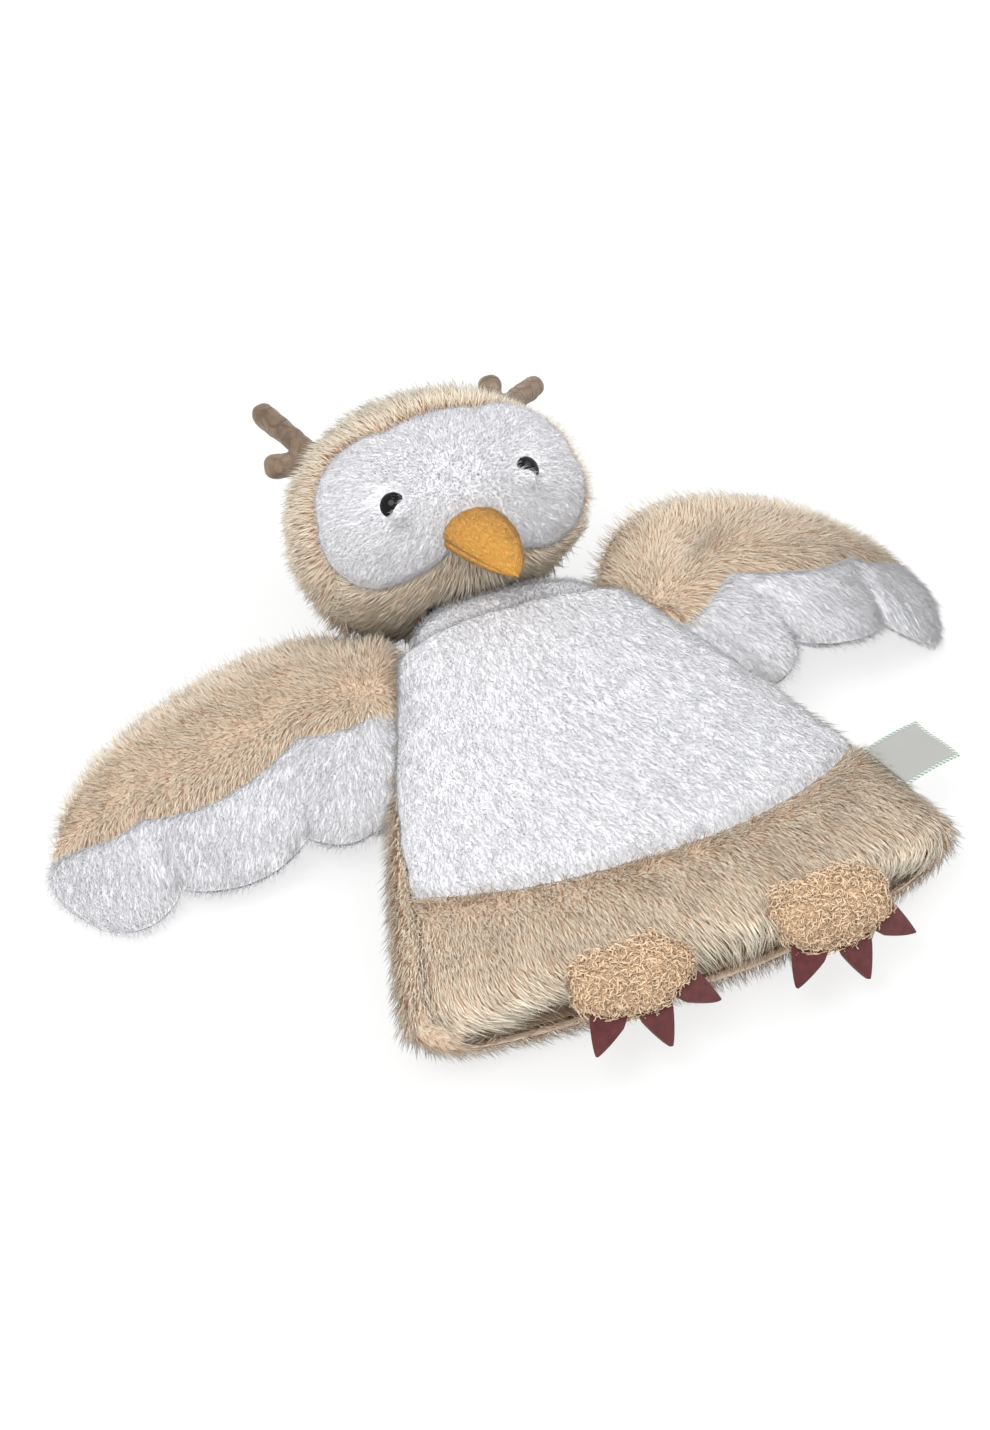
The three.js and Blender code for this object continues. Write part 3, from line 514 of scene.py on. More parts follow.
mask = knit("mask_plush", ROUND, 40, mask_place, head_place.translation, mask_nap, closed=True, rumple=0.7)
grow_pile(mask, hair("mask_hair", 4.2, 0.36, 0.3, 1), white_plush, 2.2, 1.8, 21,
          tuft_width=4, tuft=0.6, frizz=0.5, twist=0.5)
dress(mask, "head", "face_mask")


# Chin: a panel of browner, shorter fur that rises between the cheeks to the beak and runs down to
# the neck. Its pile is combed away from the beak.
chin_fur = pile_finish("chin_fur", (240, 194, 150), (255, 244, 222), patch=0.2, patch_width=12)
chin_turns = [k for k in range(ROUND) if hood_edges[k] - mask_edges[k] > 0.01]
chin_first, chin_last = min(chin_turns), max(chin_turns)


def chin_place(u, v):
    low = round(chin_first + u * (chin_last - chin_first))
    down = mask_edges[low] + (hood_edges[low] - mask_edges[low]) * v
    edge = min(down - mask_edges[low], hood_edges[low] - down) * HEAD_ARC
    return head_point(tau * low / ROUND, down, dipping(6, 8, edge, 3))


def chin_nap(u, v, point):
    sideways = 0.9 * copysign(min(1, abs(2 * u - 1) * 3), u - 0.5)
    return sideways, 0.8, 0 if in_collar(point, 1) else 1, 1.4 if in_collar(point, 10) else 1


chin = knit("chin_pile", chin_last - chin_first, 24, chin_place, head_place.translation, chin_nap,
            keep=lambda point: not in_collar(point, 0.5))
grow_pile(chin, hair("chin_hair", 10, 0.38, 0.35, 2), chin_fur, 1.8, 1.4, 31, tuft_width=6, tuft=0.9)
dress(chin, "head", "chin_panel")


# Eyes: black safety eyes, each a glossy dome on a shank that a washer locks inside the head.
EYE_SINK, EYE_RADIUS, EYE_RIM, EYE_DOME = 5.2, 5.4, 0.8, 3.4
SHANK_RADIUS, SHANK_LENGTH = 1.8, 12


def turned(name, profile, segments, place, material):
    """A closed turned form from a profile of (radius, height) that starts and ends on the axis."""
    points = [Vector((0, 0, profile[0][1]))]
    for radius, height in profile[1:-1]:
        points += ring(radius, height, segments)
    points.append(Vector((0, 0, profile[-1][1])))
    last = len(points) - 1
    top = last - segments
    faces = [(0, 1 + (i + 1) % segments, 1 + i) for i in range(segments)]
    faces += [tuple(1 + k for k in quad) for quad in net(len(profile) - 3, segments, segments)]
    faces += [(last, top + i, top + (i + 1) % segments) for i in range(segments)]
    mesh = sewn(name, [place @ point for point in points], faces)
    mesh.materials.append(material)
    mesh.shade_smooth()
    return placed(name, mesh)


eye_black, tree = new_material("eye_black")
surfaced(tree, colour(6, 6, 8), mapped(tree, speckle(tree, 900.0, 3.0), 0.0, 1.0, 0.05, 0.14), shine=0.22)
for side, (x, y) in zip(("right", "left"), EYES):
    z = HEAD_SIZE[2] * sqrt(1 - (x / HEAD_SIZE[0]) ** 2 - (y / HEAD_SIZE[1]) ** 2)
    out_way = Vector((x / HEAD_SIZE[0] ** 2, y / HEAD_SIZE[1] ** 2, z / HEAD_SIZE[2] ** 2)).normalized()
    sunk = Matrix.Translation(Vector((x, y, z)) - out_way * EYE_SINK)
    profile = [(0, -SHANK_LENGTH), (SHANK_RADIUS, -SHANK_LENGTH), (SHANK_RADIUS, -0.2),
               (5.2, 0), (EYE_RADIUS, 0.35), (EYE_RADIUS, EYE_RIM)]
    for k in range(1, 12):
        angle = k * pi / 24
        profile.append((EYE_RADIUS * cos(angle), EYE_RIM + EYE_DOME * sin(angle)))
    profile.append((0, EYE_RIM + EYE_DOME))
    eye_place = head_place @ sunk @ out_way.to_track_quat("Z", "Y").to_matrix().to_4x4()
    eye = turned(f"{side}_eye_dome", profile, 48, eye_place, eye_black)
    dress(eye, "head", f"{side}_eye")


# Beak: two pieces of orange velvet plush, a domed top and a flatter underside, sewn along the edge,
# stuffed, and drooping at the tip.
BEAK_WIDE, BEAK_TOP, BEAK_UNDER, BEAK_LENGTH, BEAK_DROOP = 14.5, 11, 7.5, 43, 7
BEAK_DOWN = 20
BEAK_IN = HEAD_SIZE[2] * sqrt(1 - (BEAK_DOWN / HEAD_SIZE[1]) ** 2) - 7
SEAM_TURN = radians(4)
beak_place = head_place @ Matrix.Translation((0, -BEAK_DOWN, BEAK_IN)) @ Matrix.Rotation(radians(26), 4, "X")


def beak_point(turn, share, inset):
    taper = max(0, 1 - share ** 2) ** 0.62
    tall = BEAK_TOP if sin(turn) > 0 else BEAK_UNDER
    size = max(taper - inset / BEAK_TOP, 0.015)
    at_seam = min(abs(turn - seam) for seam in (SEAM_TURN, pi - SEAM_TURN, tau + SEAM_TURN))
    size *= 1 - 0.07 * exp(-(at_seam / 0.09) ** 2)
    height = tall * size * sin(turn) - BEAK_DROOP * share ** 2
    return beak_place @ Vector((BEAK_WIDE * size * cos(turn), height, 1 + (BEAK_LENGTH - inset) * share))


beak_velvet = pile_finish("beak_velvet", (255, 150, 34), (255, 212, 112), patch=0.16, patch_width=6, sheen=0.45)
for name, first, last_turn, node, seed in (
    ("beak_top_plush", SEAM_TURN, pi - SEAM_TURN, "beak_top", 41),
    ("beak_under_plush", pi - SEAM_TURN, tau + SEAM_TURN, "beak_underside", 42),
):
    def beak_sheet(u, v):
        return beak_point(first + (last_turn - first) * u, v, 0.9)

    half = knit(name, 40, 36, beak_sheet, beak_place @ Vector((0, 0, 15)), lambda u, v, point: (0, 1, 1, 1))
    grow_pile(half, hair("velvet_hair", 2, 0.4, 0.35, 1), beak_velvet, 7, 1.6, seed,
              tuft_width=2.5, tuft=1.2, frizz=0.5)
    dress(half, "head", node)


# Horns: two forked twigs of grey-brown suede cloth, turned from a tube and stuffed. The cloth
# wrinkles along its length and at the fork.
HORN_RADIUS, HORN_SEAM = 4.9, 1.5
LONG_PRONG, SHORT_PRONG = 42, 26
PRONG_SIDES = 24


def raised(tree, height, strength, rise_m):
    inputs = {"Strength": strength, "Distance": rise_m, "Height": height}
    return add_node(tree, "ShaderNodeBump", inputs).outputs[0]


suede, tree = new_material("suede_cloth")
grain = speckle(tree, 420.0, 6.0, roughness=0.7)
creases = add_node(tree, "ShaderNodeTexVoronoi", {"Vector": on_piece(tree), "Scale": 130.0},
                   feature="DISTANCE_TO_EDGE").outputs[0]
# Random tone from the grain, times painted shade that darkens the cloth along the crease lines.
grain_tone_and_crease_shade = maths(tree, "MULTIPLY", mapped(tree, grain, 0.3, 0.7, 0.82, 1.12), mapped(tree, creases, 0.0, 0.2, 0.72))
blotched = dyed(tree, speckle(tree, 90.0, 3.0, distortion=1.5), (70, 54, 42), (176, 152, 128))
heights = maths(tree, "MULTIPLY_ADD", grain, mapped(tree, creases, 0.0, 0.12), 0.3)
surfaced(tree, scaled(tree, blotched, grain_tone_and_crease_shade), 0.9, raised(tree, heights, 0.9, 0.0006), sheen=0.3, shine=0.15)

wadding, tree = new_material("wadding_fibre")
tangle = speckle(tree, 500.0, 6.0, distortion=2.5)
fleece = dyed(tree, tangle, (222, 222, 220), (250, 250, 248))
surfaced(tree, fleece, 0.95, raised(tree, tangle, 0.6, 0.0005), sheen=0.3)


def horn_root(sign):
    return Vector((sign * 37, 29, -8))


def prong_end(sign, length, aside, back):
    aside, back = radians(aside), radians(back)
    way = Vector((sin(aside) * sign * cos(back), cos(aside) * cos(back), -sin(back)))
    return horn_root(sign) + way * length


def prong(points, faces, start, end, radius):
    """Adds a round-ended rod, a little waisted, to points and faces."""
    turn = (end - start).normalized().to_track_quat("Z", "Y")
    length = (end - start).length
    rows = []
    for k in range(7):
        angle = pi / 2 * (1 - k / 6)
        rows.append((radius * cos(angle), -radius * sin(angle)))
    rows += [(radius * (1 - 0.05 * sin(pi * k / 12)), length * k / 12) for k in range(1, 12)]
    rows += [(radius * (1 - (k / 7) ** 3.5) ** 0.4, length + radius * k / 7) for k in range(8)]
    first = len(points)
    for wide, height in rows:
        points += [head_place @ (start + turn @ local) for local in ring(max(wide, 0.02), height, PRONG_SIDES)]
    last = len(points) - PRONG_SIDES
    faces += [tuple(first + k for k in quad) for quad in net(len(rows) - 1, PRONG_SIDES, PRONG_SIDES)]
    faces.append([first + i for i in reversed(range(PRONG_SIDES))])
    faces.append([last + i for i in range(PRONG_SIDES)])


def baked(obj):
    """Makes the object's modifiers part of its mesh."""
    depsgraph = bpy.context.evaluated_depsgraph_get()
    obj.data = bpy.data.meshes.new_from_object(obj.evaluated_get(depsgraph))
    obj.modifiers.clear()


for side, sign, long_way, short_way in (("right", -1, (21, 36), (68, 42)), ("left", 1, (67, 36), (27, 40))):
    for name, radius, node, slot, material, fill in (
        ("cloth", HORN_RADIUS, "horn", "suede", suede, 0.9),
        ("stuffing", HORN_RADIUS - HORN_SEAM, "horn_filling", "wadding", wadding, None),
    ):
        points, faces = [], []
        for full_length, way in ((LONG_PRONG, long_way), (SHORT_PRONG, short_way)):
            prong(points, faces, horn_root(sign), prong_end(sign, full_length - HORN_RADIUS, *way), radius)
        horn = placed(f"{side}_horn_{name}", sewn(f"{side}_horn_{name}", points, faces))
        remesh = horn.modifiers.new("one_skin", "REMESH")
        remesh.mode = "VOXEL"
        remesh.voxel_size = 0.0007
        horn.modifiers.new("soften", "SMOOTH").iterations = 6
        baked(horn)
        if slot == "suede":
            for vertex in horn.data.vertices:
                wrinkle = noise.noise(vertex.co * 260) * 0.45 + noise.noise(vertex.co * 90 + Vector((5, 0, 0))) * 0.7
                vertex.co += vertex.normal * wrinkle * MM
        horn.data.shade_smooth()
        horn.data.materials.append(material)
        dress(horn, "head", f"{side}_{node}")


# Neck roll: a padded ring of short white plush between the head and the body.
COLLAR_REACH = (46, 32)
COLLAR_LEAST_Y = 86.6


def powered(value, exponent):
    return copysign(abs(value) ** exponent, value)


def collar_place(u, v):
    turn, down = tau * u, pi * v
    reach = COLLAR_REACH[0 if v < 0.5 else 1] * powered(cos(down), 0.8)
    round_it = sin(down) ** 0.8
    point = NECK + Vector((reach, 15 * round_it * cos(turn) - 2, 16 * round_it * sin(turn) - 2))
    point.y = max(point.y, COLLAR_LEAST_Y)
    point.z = max(point.z, CLOTH_LOWEST)
    return point


def collar_nap(u, v, point):
    return 0.5, 0, 0 if point.y < COLLAR_LEAST_Y + 0.4 else 1, 1


collar = knit("neck_plush", 64, 48, collar_place, NECK, collar_nap, closed=True)
grow_pile(collar, hair("collar_hair", 4.2, 0.36, 0.3, 1), white_plush, 2.2, 1.8, 51,
          tuft_width=4, tuft=0.6, frizz=0.5, twist=0.5)
dress(collar, "neck", "neck_collar")


# Body: a glove of three panels. The belly is short white plush, the band along the front of the hem
# and the back, which wraps both sides, are long beige fur. The fur rolls in over the open hem.
HEM, NECK_END = -93, 86
BODY_LENGTH = NECK_END - HEM
BODY_WIDTH = (118, 43)
BODY_HEIGHT = (37, 49)
BODY_CORNER = 16
BODY_MIDDLE = Vector((0, 0, 18))
LOW_SEAM_ANGLE = radians(8)
BAND_CORNER_ANGLE = pi - 0.38
BELLY_TURNS_IN, BAND_TURNS_IN = 0.94, 0.8
BACK_HEM, BACK_TURNS_IN = 0.1, 0.95
FUR_DEPTH = 5.5


def seam_angle(y):
    """The seam between belly and back on the -X side, which climbs from the neck to the hem."""
    share = clamp((40 - y) / 90)
    return radians(mix(5, 22, share * share * (3 - 2 * share)))


def body_half_width(y):
    in_corner = max(0, BODY_CORNER - (y - HEM))
    rounded = sqrt(max(0, BODY_CORNER ** 2 - in_corner ** 2))
    return mix(*BODY_WIDTH, (y - HEM) / BODY_LENGTH) - BODY_CORNER + rounded


def body_point(angle, y, inset):
    """A point of the stuffed body's skin. Its sides are full, the +X one most at the neck."""
    from_neck = 1 - (y - HEM) / BODY_LENGTH
    half_height = mix(*BODY_HEIGHT, 1 - from_neck) / 2
    side = (body_half_width(y) - inset) * powered(cos(angle), 0.8)
    rise = (half_height - inset) * powered(sin(angle), 0.8)
    pulled = 18 * from_neck ** 2 * (max(0, side) / BODY_WIDTH[0]) ** 1.6
    fuller = (18 + 6 * from_neck - 31 * from_neck ** 2.2) * max(0, cos(angle))
    fuller -= (6 + 6 * from_neck ** 2 - 8 * from_neck ** 4) * max(0, -cos(angle))
    return Vector((side + 6 * from_neck ** 3 + fuller, y + pulled, max(half_height - 0.5 + rise, CLOTH_LOWEST)))


def band_edge(angle):
    return HEM + mix(42, 59, cos(angle) ** 2) + 8 * abs(cos(angle)) ** 3


def hem_roll(angle, share, depth):
    """The last of a panel, from its outer face round the hem to the lining."""
    turn = pi * share
    return body_point(angle, HEM + 2 - 2 * sin(turn), depth + (8 - depth) / 2 * (1 - cos(turn)))


def from_side_seams(u, y):
    return min(u, 1 - u) * 2.2 * body_half_width(y)


def belly_place(u, v):
    low = band_edge(mix(BAND_CORNER_ANGLE, LOW_SEAM_ANGLE, u))
    y = mix(low, NECK_END - 0.5, min(1, v / BELLY_TURNS_IN))
    angle = mix(pi - seam_angle(y), LOW_SEAM_ANGLE, u)
    if v > BELLY_TURNS_IN:
        return body_point(angle, y, mix(4.5, 13, (v - BELLY_TURNS_IN) / 0.06))
    return body_point(angle, y, dipping(4, 6.5, min(from_side_seams(u, y), y - low), 4))


def belly_nap(u, v, point):
    return max(0, u - 0.9) * 12, -1, 1, 1


belly = knit("belly_plush", 110, 90, belly_place, BODY_MIDDLE, belly_nap, rumple=0.9)
grow_pile(belly, hair("belly_hair", 4.6, 0.4, 0.35, 1), white_plush, 1.95, 1.8, 61,
          tuft_width=5, tuft=0.8, frizz=0.6, twist=0.6)
dress(belly, "torso", "belly_panel")


def band_place(u, v):
    high = band_edge(mix(BAND_CORNER_ANGLE, LOW_SEAM_ANGLE, u))
    y = mix(high, HEM + 2, min(1, v / BAND_TURNS_IN))
    angle = mix(pi - seam_angle(y), LOW_SEAM_ANGLE, u)
    if v > BAND_TURNS_IN:
        return hem_roll(angle, (v - BAND_TURNS_IN) / 0.2, FUR_DEPTH)
    return body_point(angle, y, dipping(FUR_DEPTH, 7, min(from_side_seams(u, y), high - y), 4))


def band_nap(u, v, point):
    """Upright in the middle of the panel, and long and combed over the hem below it."""
    return 0, mix(0.3, 1.6, min(1, v * 1.25)), 1, mix(0.85, 1.5, min(1, max(0, v - 0.55) * 4))


band = knit("band_fur", 110, 40, band_place, BODY_MIDDLE, band_nap)
grow_pile(band, hair("band_hair", 12, 0.4, 0.3, 2), long_fur, 1.4, 1.5, 62, tuft_width=10, tuft=1.5)
dress(band, "torso", "hem_band")


def back_place(u, v):
    y = mix(HEM + 2, NECK_END - 0.5, clamp((v - BACK_HEM) / 0.85))
    angle = mix(pi - seam_angle(y), tau + LOW_SEAM_ANGLE, u)
    if v < BACK_HEM:
        return hem_roll(angle, 1 - v / BACK_HEM, FUR_DEPTH)
    if v > BACK_TURNS_IN:
        return body_point(angle, y, mix(FUR_DEPTH, 13, (v - BACK_TURNS_IN) / 0.05))
    return body_point(angle, y, dipping(FUR_DEPTH, 7, min(u, 1 - u) * 300, 4))


def back_nap(u, v, point):
    """Short beside the belly on the +X side and at the hem, and thin underneath."""
    under = point.z < UNDERSIDE
    length = mix(1, 0.6, min(1, max(0, u - 0.95) * 24)) if v > 0.14 else 0.65
    return 0, -1.7 if under else -0.7, 0.06 if under else 1, 0.7 if under else length


back = knit("back_fur", 150, 80, back_place, BODY_MIDDLE, back_nap)
grow_pile(back, hair("back_hair", 12, 0.42, 0.3, 2), long_fur, 1.1, 1.4, 63, tuft_width=7)
dress(back, "torso", "back_panel")


# Inside: a plain woven lining that forms the hand's glove, the finger pockets, and the wadding.
LINING_DEPTH = 8.6


def crossed(tree, place, warps, wefts, distortion):
    """The height of woven threads, from how many there are each way."""
    ways = [
        add_node(tree, "ShaderNodeTexWave", {"Vector": place, "Scale": count, "Distortion": distortion},
                 bands_direction=way).outputs["Fac"]
        for count, way in ((warps, "X"), (wefts, "Y"))
    ]
    return maths(tree, "MULTIPLY", *ways)


lining_cloth, tree = new_material("lining_cloth")
threads = crossed(tree, on_piece(tree), 700.0, 700.0, 0.6)
weave_and_mottle = maths(tree, "ADD", threads, speckle(tree, 60.0, 4.0))
# Painted shade: the pale lining is dyed a darker beige-brown, standing for the shade in the hem's opening.
surfaced(tree, dyed(tree, weave_and_mottle, (166, 138, 110), (210, 184, 156)), 0.85, raised(tree, threads, 0.4, 0.0003))


def lining_place(u, v):
    return body_point(tau * u, mix(HEM + 3, NECK_END - 1, v), LINING_DEPTH)


lining = knit("lining_glove", 96, 48, lining_place, BODY_MIDDLE, lambda u, v, point: (0, 1, 0, 0), closed=True)
lining.data.materials.append(lining_cloth)
lining.modifiers.new("cloth", "SOLIDIFY").thickness = 0.0006
baked(lining)
dress(lining, "torso", "hand_lining")

washer_white, tree = new_material("washer_white")
surfaced(tree, colour(216, 216, 210), mapped(tree, speckle(tree, 500.0), 0.0, 1.0, 0.35, 0.5))
inside = {"wadding": wadding, "lining": lining_cloth, "washer": washer_white}
dressed = ("hand_lining", "right_horn_filling", "left_horn_filling")
for part in frame["record"]["subparts"]:
    if part["material_slot"] in inside and part["node"] not in dressed:
        carried = frame["nodes"][part["node"]]
        carried.data.materials.clear()
        carried.data.materials.append(inside[part["material_slot"]])


# Wings: stuffed pillows hinged on the shoulder seam. Long beige coverts lie over three scalloped
# feathers of white plush, which is the underside's cloth too. The left one is pushed up.
SHOULDER = Vector((68.652, 60, 0))
SEAM_WAY = Vector((-0.38644, 0.92231, 0))
OUT_WAY = Vector((0.92231, 0.38644, 0))
ROOT_HIGH = SHOULDER + SEAM_WAY * 55
ROOT_LOW = SHOULDER - SEAM_WAY * 40
TIP_HIGH, TIP_BEND, TIP_LOW = Vector((191, 66, 0)), Vector((210, 48, 0)), Vector((187, 24, 0))
LEADING = [ROOT_HIGH, Vector((63, 130, 0)), Vector((85, 135, 0)), Vector((112, 131, 0)),
           Vector((143, 118, 0)), Vector((171, 97, 0)), TIP_HIGH]
NOTCHES = (ROOT_LOW.x - 8, 106, 154, TIP_LOW.x)
WING_SPAN, WING_CHORD = 130, 95
WING_EDGE, WING_HALF = 1.6, 12.4
ROOT_SHARE = 0.2
WING_POSES = {
    "right": dict(arch=0, sweep=0, shortening=1, reach=(1.5, 1.6), root_rises=(11, 0, 0), fold=0),
    "left": dict(arch=18, sweep=0.2, shortening=0.87, reach=(0, 1.7), root_rises=(0, 8, 8), fold=9),
}


def leading_edge(s):
    """A smooth curve through the leading edge's points."""
    k = min(int(s * 6), 5)
    t = s * 6 - k
    a, b, c, d = (LEADING[min(max(k + j, 0), 6)] for j in (-1, 0, 1, 2))
    if k == 0:
        a = b * 2 - c
    if k == 5:
        d = c * 2 - b
    return (b * 2 + (c - a) * t + (a * 2 - b * 5 + c * 4 - d) * t ** 2 + (b * 3 - a - c * 3 + d) * t ** 3) / 2


def feather_edge(s):
    """The scalloped edge, one bow for each feather."""
    x = mix(ROOT_LOW.x, TIP_LOW.x, s)
    k = max(i for i in range(3) if i == 0 or x >= NOTCHES[i])
    share = clamp((x - NOTCHES[k]) / (NOTCHES[k + 1] - NOTCHES[k]))
    return Vector((x, mix(ROOT_LOW.y, TIP_LOW.y, s) - 12 * sin(pi * share) ** 0.7, 0))


def plan_point(s, t):
    """A point of the wing's plan, s from root to tip and t from leading to feather edge."""
    rails = leading_edge(s).lerp(feather_edge(s), t)
    tip = TIP_HIGH * (1 - t) ** 2 + TIP_BEND * 2 * t * (1 - t) + TIP_LOW * t ** 2
    ends = ROOT_HIGH.lerp(ROOT_LOW, t).lerp(tip, s)
    corners = ROOT_HIGH.lerp(ROOT_LOW, t).lerp(TIP_HIGH.lerp(TIP_LOW, t), s)
    return rails + ends - corners


def feather_line(s):
    """Where the coverts end and the feathers begin."""
    return 0.5 + 0.16 * sin(pi * s ** 1.2) - 0.36 * s ** 6


def wing_point(face, a, t, inset, arch, sweep, shortening, reach, root_rises, fold):
    """A point of the wing's upper (1) or lower (-1) face, on the +X side. The first share of a is
    the rolled root, and the outline is drawn in by the inset."""
    rolled = a < ROOT_SHARE
    s = 0 if rolled else (a - ROOT_SHARE) / 0.8
    turn = pi / 2 * (a / ROOT_SHARE if rolled else 1)
    across_share = sqrt(max(0, 1 - abs(2 * t - 1) ** 2.6))
    half = WING_EDGE + WING_HALF * across_share * sqrt(max(0, 1 - s ** 2.4)) - inset
    half = max(half, 0.4)
    s *= 1 - inset / WING_SPAN
    t = mix(inset / WING_CHORD, 1 - inset / WING_CHORD, t)
    point = plan_point(s, t) + SEAM_WAY * (root_rises[0] * (1 - t) * (1 - s) ** 4 + root_rises[1] * t * (1 - s) ** 2)
    point += OUT_WAY * root_rises[2] * min(1, 1.6 * t) * (1 - s) ** 3
    point.x += (point.x - SHOULDER.x) * (shortening - 1) * min(1, 3 * s)
    point.y += sweep * max(0, point.x - SHOULDER.x)
    point -= OUT_WAY * half * cos(turn) * mix(*reach, clamp((t - 0.4) * 5))
    middle = mix(17, 3, s) + arch * sin(pi * s ** 0.85) ** 1.1
    crease = 0
    if t > 0.55:
        crease = sum(exp(-((plan_point(s, t).x - notch) / 4) ** 2) for notch in NOTCHES[1:3]) * (t - 0.55) * 6
    if face > 0:
        crease += fold * exp(-((s - 0.3) / 0.13) ** 2 - ((t - 0.3 + (s - 0.3) * 0.5) / 0.09) ** 2)
    lift = max(half * sin(turn) - crease, 0.3)
    point.z = max(middle + face * lift, CLOTH_LOWEST)
    return point


for side, sign in (("right", -1), ("left", 1)):
    pose = WING_POSES[side]
    middle = Vector((120 * sign, 70, 12))

    def wing_sheet(face, first, last_t, depth):
        """A panel of one face, between two lines along the wing."""
        def place(u, v):
            s = max(0, (v - ROOT_SHARE) / 0.8)
            low, high = first(s), last_t(s)
            edge = min(u if low > 0 else 1, 1 - u if high < 1 else 1) * 45
            deep = mix(2.5, dipping(depth, 6, edge, 3), clamp((v - 0.15) * 10))
            point = wing_point(face, v, mix(low, high, u), deep, **pose)
            point.x *= sign
            return point
        return place

    def filling(name, roots, rails, depth):
        """A closed form in the wing, a set depth inside its cloth."""
        def place(u, v):
            face, t = (1, 2 * u) if u < 0.5 else (-1, 2 - 2 * u)
            a = mix(*roots, v)
            heart = (wing_point(1, a, 0.5, depth, **pose) + wing_point(-1, a, 0.5, depth, **pose)) / 2
            ends = sqrt(max(0, min(1, 12 * v, 12 * (1 - v))))
            point = heart.lerp(wing_point(face, a, mix(*rails, t), depth, **pose), ends)
            point.x *= sign
            return point
        return knit(name, 48, 40, place, middle, lambda u, v, point: (0, 1, 0, 0), closed=True)

    for name, roots, rails, depth, node, slot in (
        ("wing_stuffing", (0.1, 0.95), (0.05, 0.95), 7.5, "wadding", "wadding"),
        ("finger_pocket", (0.12, 0.5), (0.35, 0.65), 10, "pocket", "lining"),
    ):
        form = filling(f"{side}_{name}", roots, rails, depth)
        form.data.materials.append(inside[slot])
        dress(form, f"{side}_wing", f"{side}_wing_{node}")

    def coverts_nap(u, v, point):
        """Combed out over the leading edge, upright along the middle, and down at the feathers."""
        over_edge = mix(-1.5, 0, min(1, u / 0.42))
        down = mix(0, 1.1, max(0, (u - 0.55) / 0.45))
        along = mix(-1.2, 0.4, min(1, v / 0.3))
        return over_edge + down, along, 1, mix(1, 0.7, sin(pi * u))

    def feathers_nap(u, v, point):
        return 1, mix(-1.2, 0.3, min(1, v / 0.3)), 1, 1

    def under_nap(u, v, point):
        return 0.8 * (2 * u - 1), 0.5, 0.5 if point.z < UNDERSIDE else 1, 0.8

    coverts = knit(f"{side}_covert_fur", 40, 70, wing_sheet(1, lambda s: 0, feather_line, 4.5), middle, coverts_nap)
    grow_pile(coverts, hair("covert_hair", 11, 0.4, 0.28, 2), long_fur, 1.2, 1.5, 71, tuft_width=7, tuft=0.8)
    feathers = knit(f"{side}_feather_plush", 36, 70, wing_sheet(1, feather_line, lambda s: 1, 3), middle,
                    feathers_nap, rumple=0.5)
    grow_pile(feathers, hair("feather_hair", 6, 0.38, 0.35, 1), white_plush, 2.1, 1.8, 72,
              tuft_width=7, tuft=0.8, frizz=0.4, twist=0.5)
    under = knit(f"{side}_under_plush", 60, 70, wing_sheet(-1, lambda s: 0, lambda s: 1, 3),
                 middle + Vector((0, 0, 20)), under_nap)
    grow_pile(under, hair("under_hair", 5, 0.42, 0.3, 1), white_plush, 1.2, 1.8, 73, tuft_width=7, tuft=1.0, frizz=0.5)
    dress(coverts, f"{side}_wing", f"{side}_wing_coverts")
    dress(feathers, f"{side}_wing", f"{side}_wing_feathers")
    dress(under, f"{side}_wing", f"{side}_wing_underside")


# Feet: pads of curly tan plush, sewn by their rear edge to the hem band and stuffed, each with
# three claws cut from thick dark red felt.
PAD_HALF_WIDTH, PAD_HALF_HEIGHT = 22, 8
PAD_SEAM = 0.54
CLAW_LENGTH, CLAW_HALF_THICK, CLAW_CROWN = 23.5, 1.1, 0.35
CLAW_ROWS, CLAW_COLUMNS = 20, 10
curly_plush = pile_finish("curly_plush", (190, 150, 112), (250, 220, 184), patch=0.2, patch_width=6, sheen=0.35)
felt, tree = new_material("claw_felt")
fibres = raised(tree, speckle(tree, 1400.0, 5.0, distortion=2.0), 0.6, 0.0004)
surfaced(tree, dyed(tree, speckle(tree, 300.0, 3.0), (64, 26, 29), (112, 55, 55)), 0.95, fibres, sheen=0.12)


def curl(name, length, wave, thick):
    """One lock of the pile: a closed three-sided thread that rises and leans over in waves."""
    steps = 7
    line = [
        Vector((
            length * 0.6 * share ** 1.4,
            wave * sin(2.6 * pi * share) * (0.3 + share),
            length * (0.62 * sin(pi / 2 * share) - 0.08),
        ))
        for share in (k / steps for k in range(steps + 1))
    ]
    points, tips = [], []
    for k, centre in enumerate(line):
        way = (line[min(k + 1, steps)] - line[max(k - 1, 0)]).to_track_quat("Z", "Y")
        points += [centre + way @ local for local in ring(thick / 2 * (1 - 0.4 * k / steps), 0, 3)]
        tips += [k / steps] * 3
    top = 3 * steps
    return thread(name, points, tips, net(steps, 3, 3) + [(2, 1, 0), (top, top + 1, top + 2)])


def claw_outline(share):
    """The claw's half width from its root, 0, to its pointed tip, 1."""
    return min(6.2, 8.4 * (1 - share ** 1.5) ** 0.9 + 0.4)


def slab(rows, columns):
    """The faces of a thin closed slab, whose points are its upper face's and then its lower one's."""
    wide = columns + 1
    size = wide * (rows + 1)
    upper = net(rows, columns, wide)
    lower = [(size + a, size + d, size + c, size + b) for a, b, c, d in upper]
    rim = [j * wide for j in range(rows)] + [rows * wide + i for i in range(columns)]
    rim += [j * wide + columns for j in range(rows, 0, -1)] + list(range(columns, 0, -1))
    return upper + lower + [(a, b, size + b, size + a) for a, b in zip(rim, rim[1:] + rim[:1])]


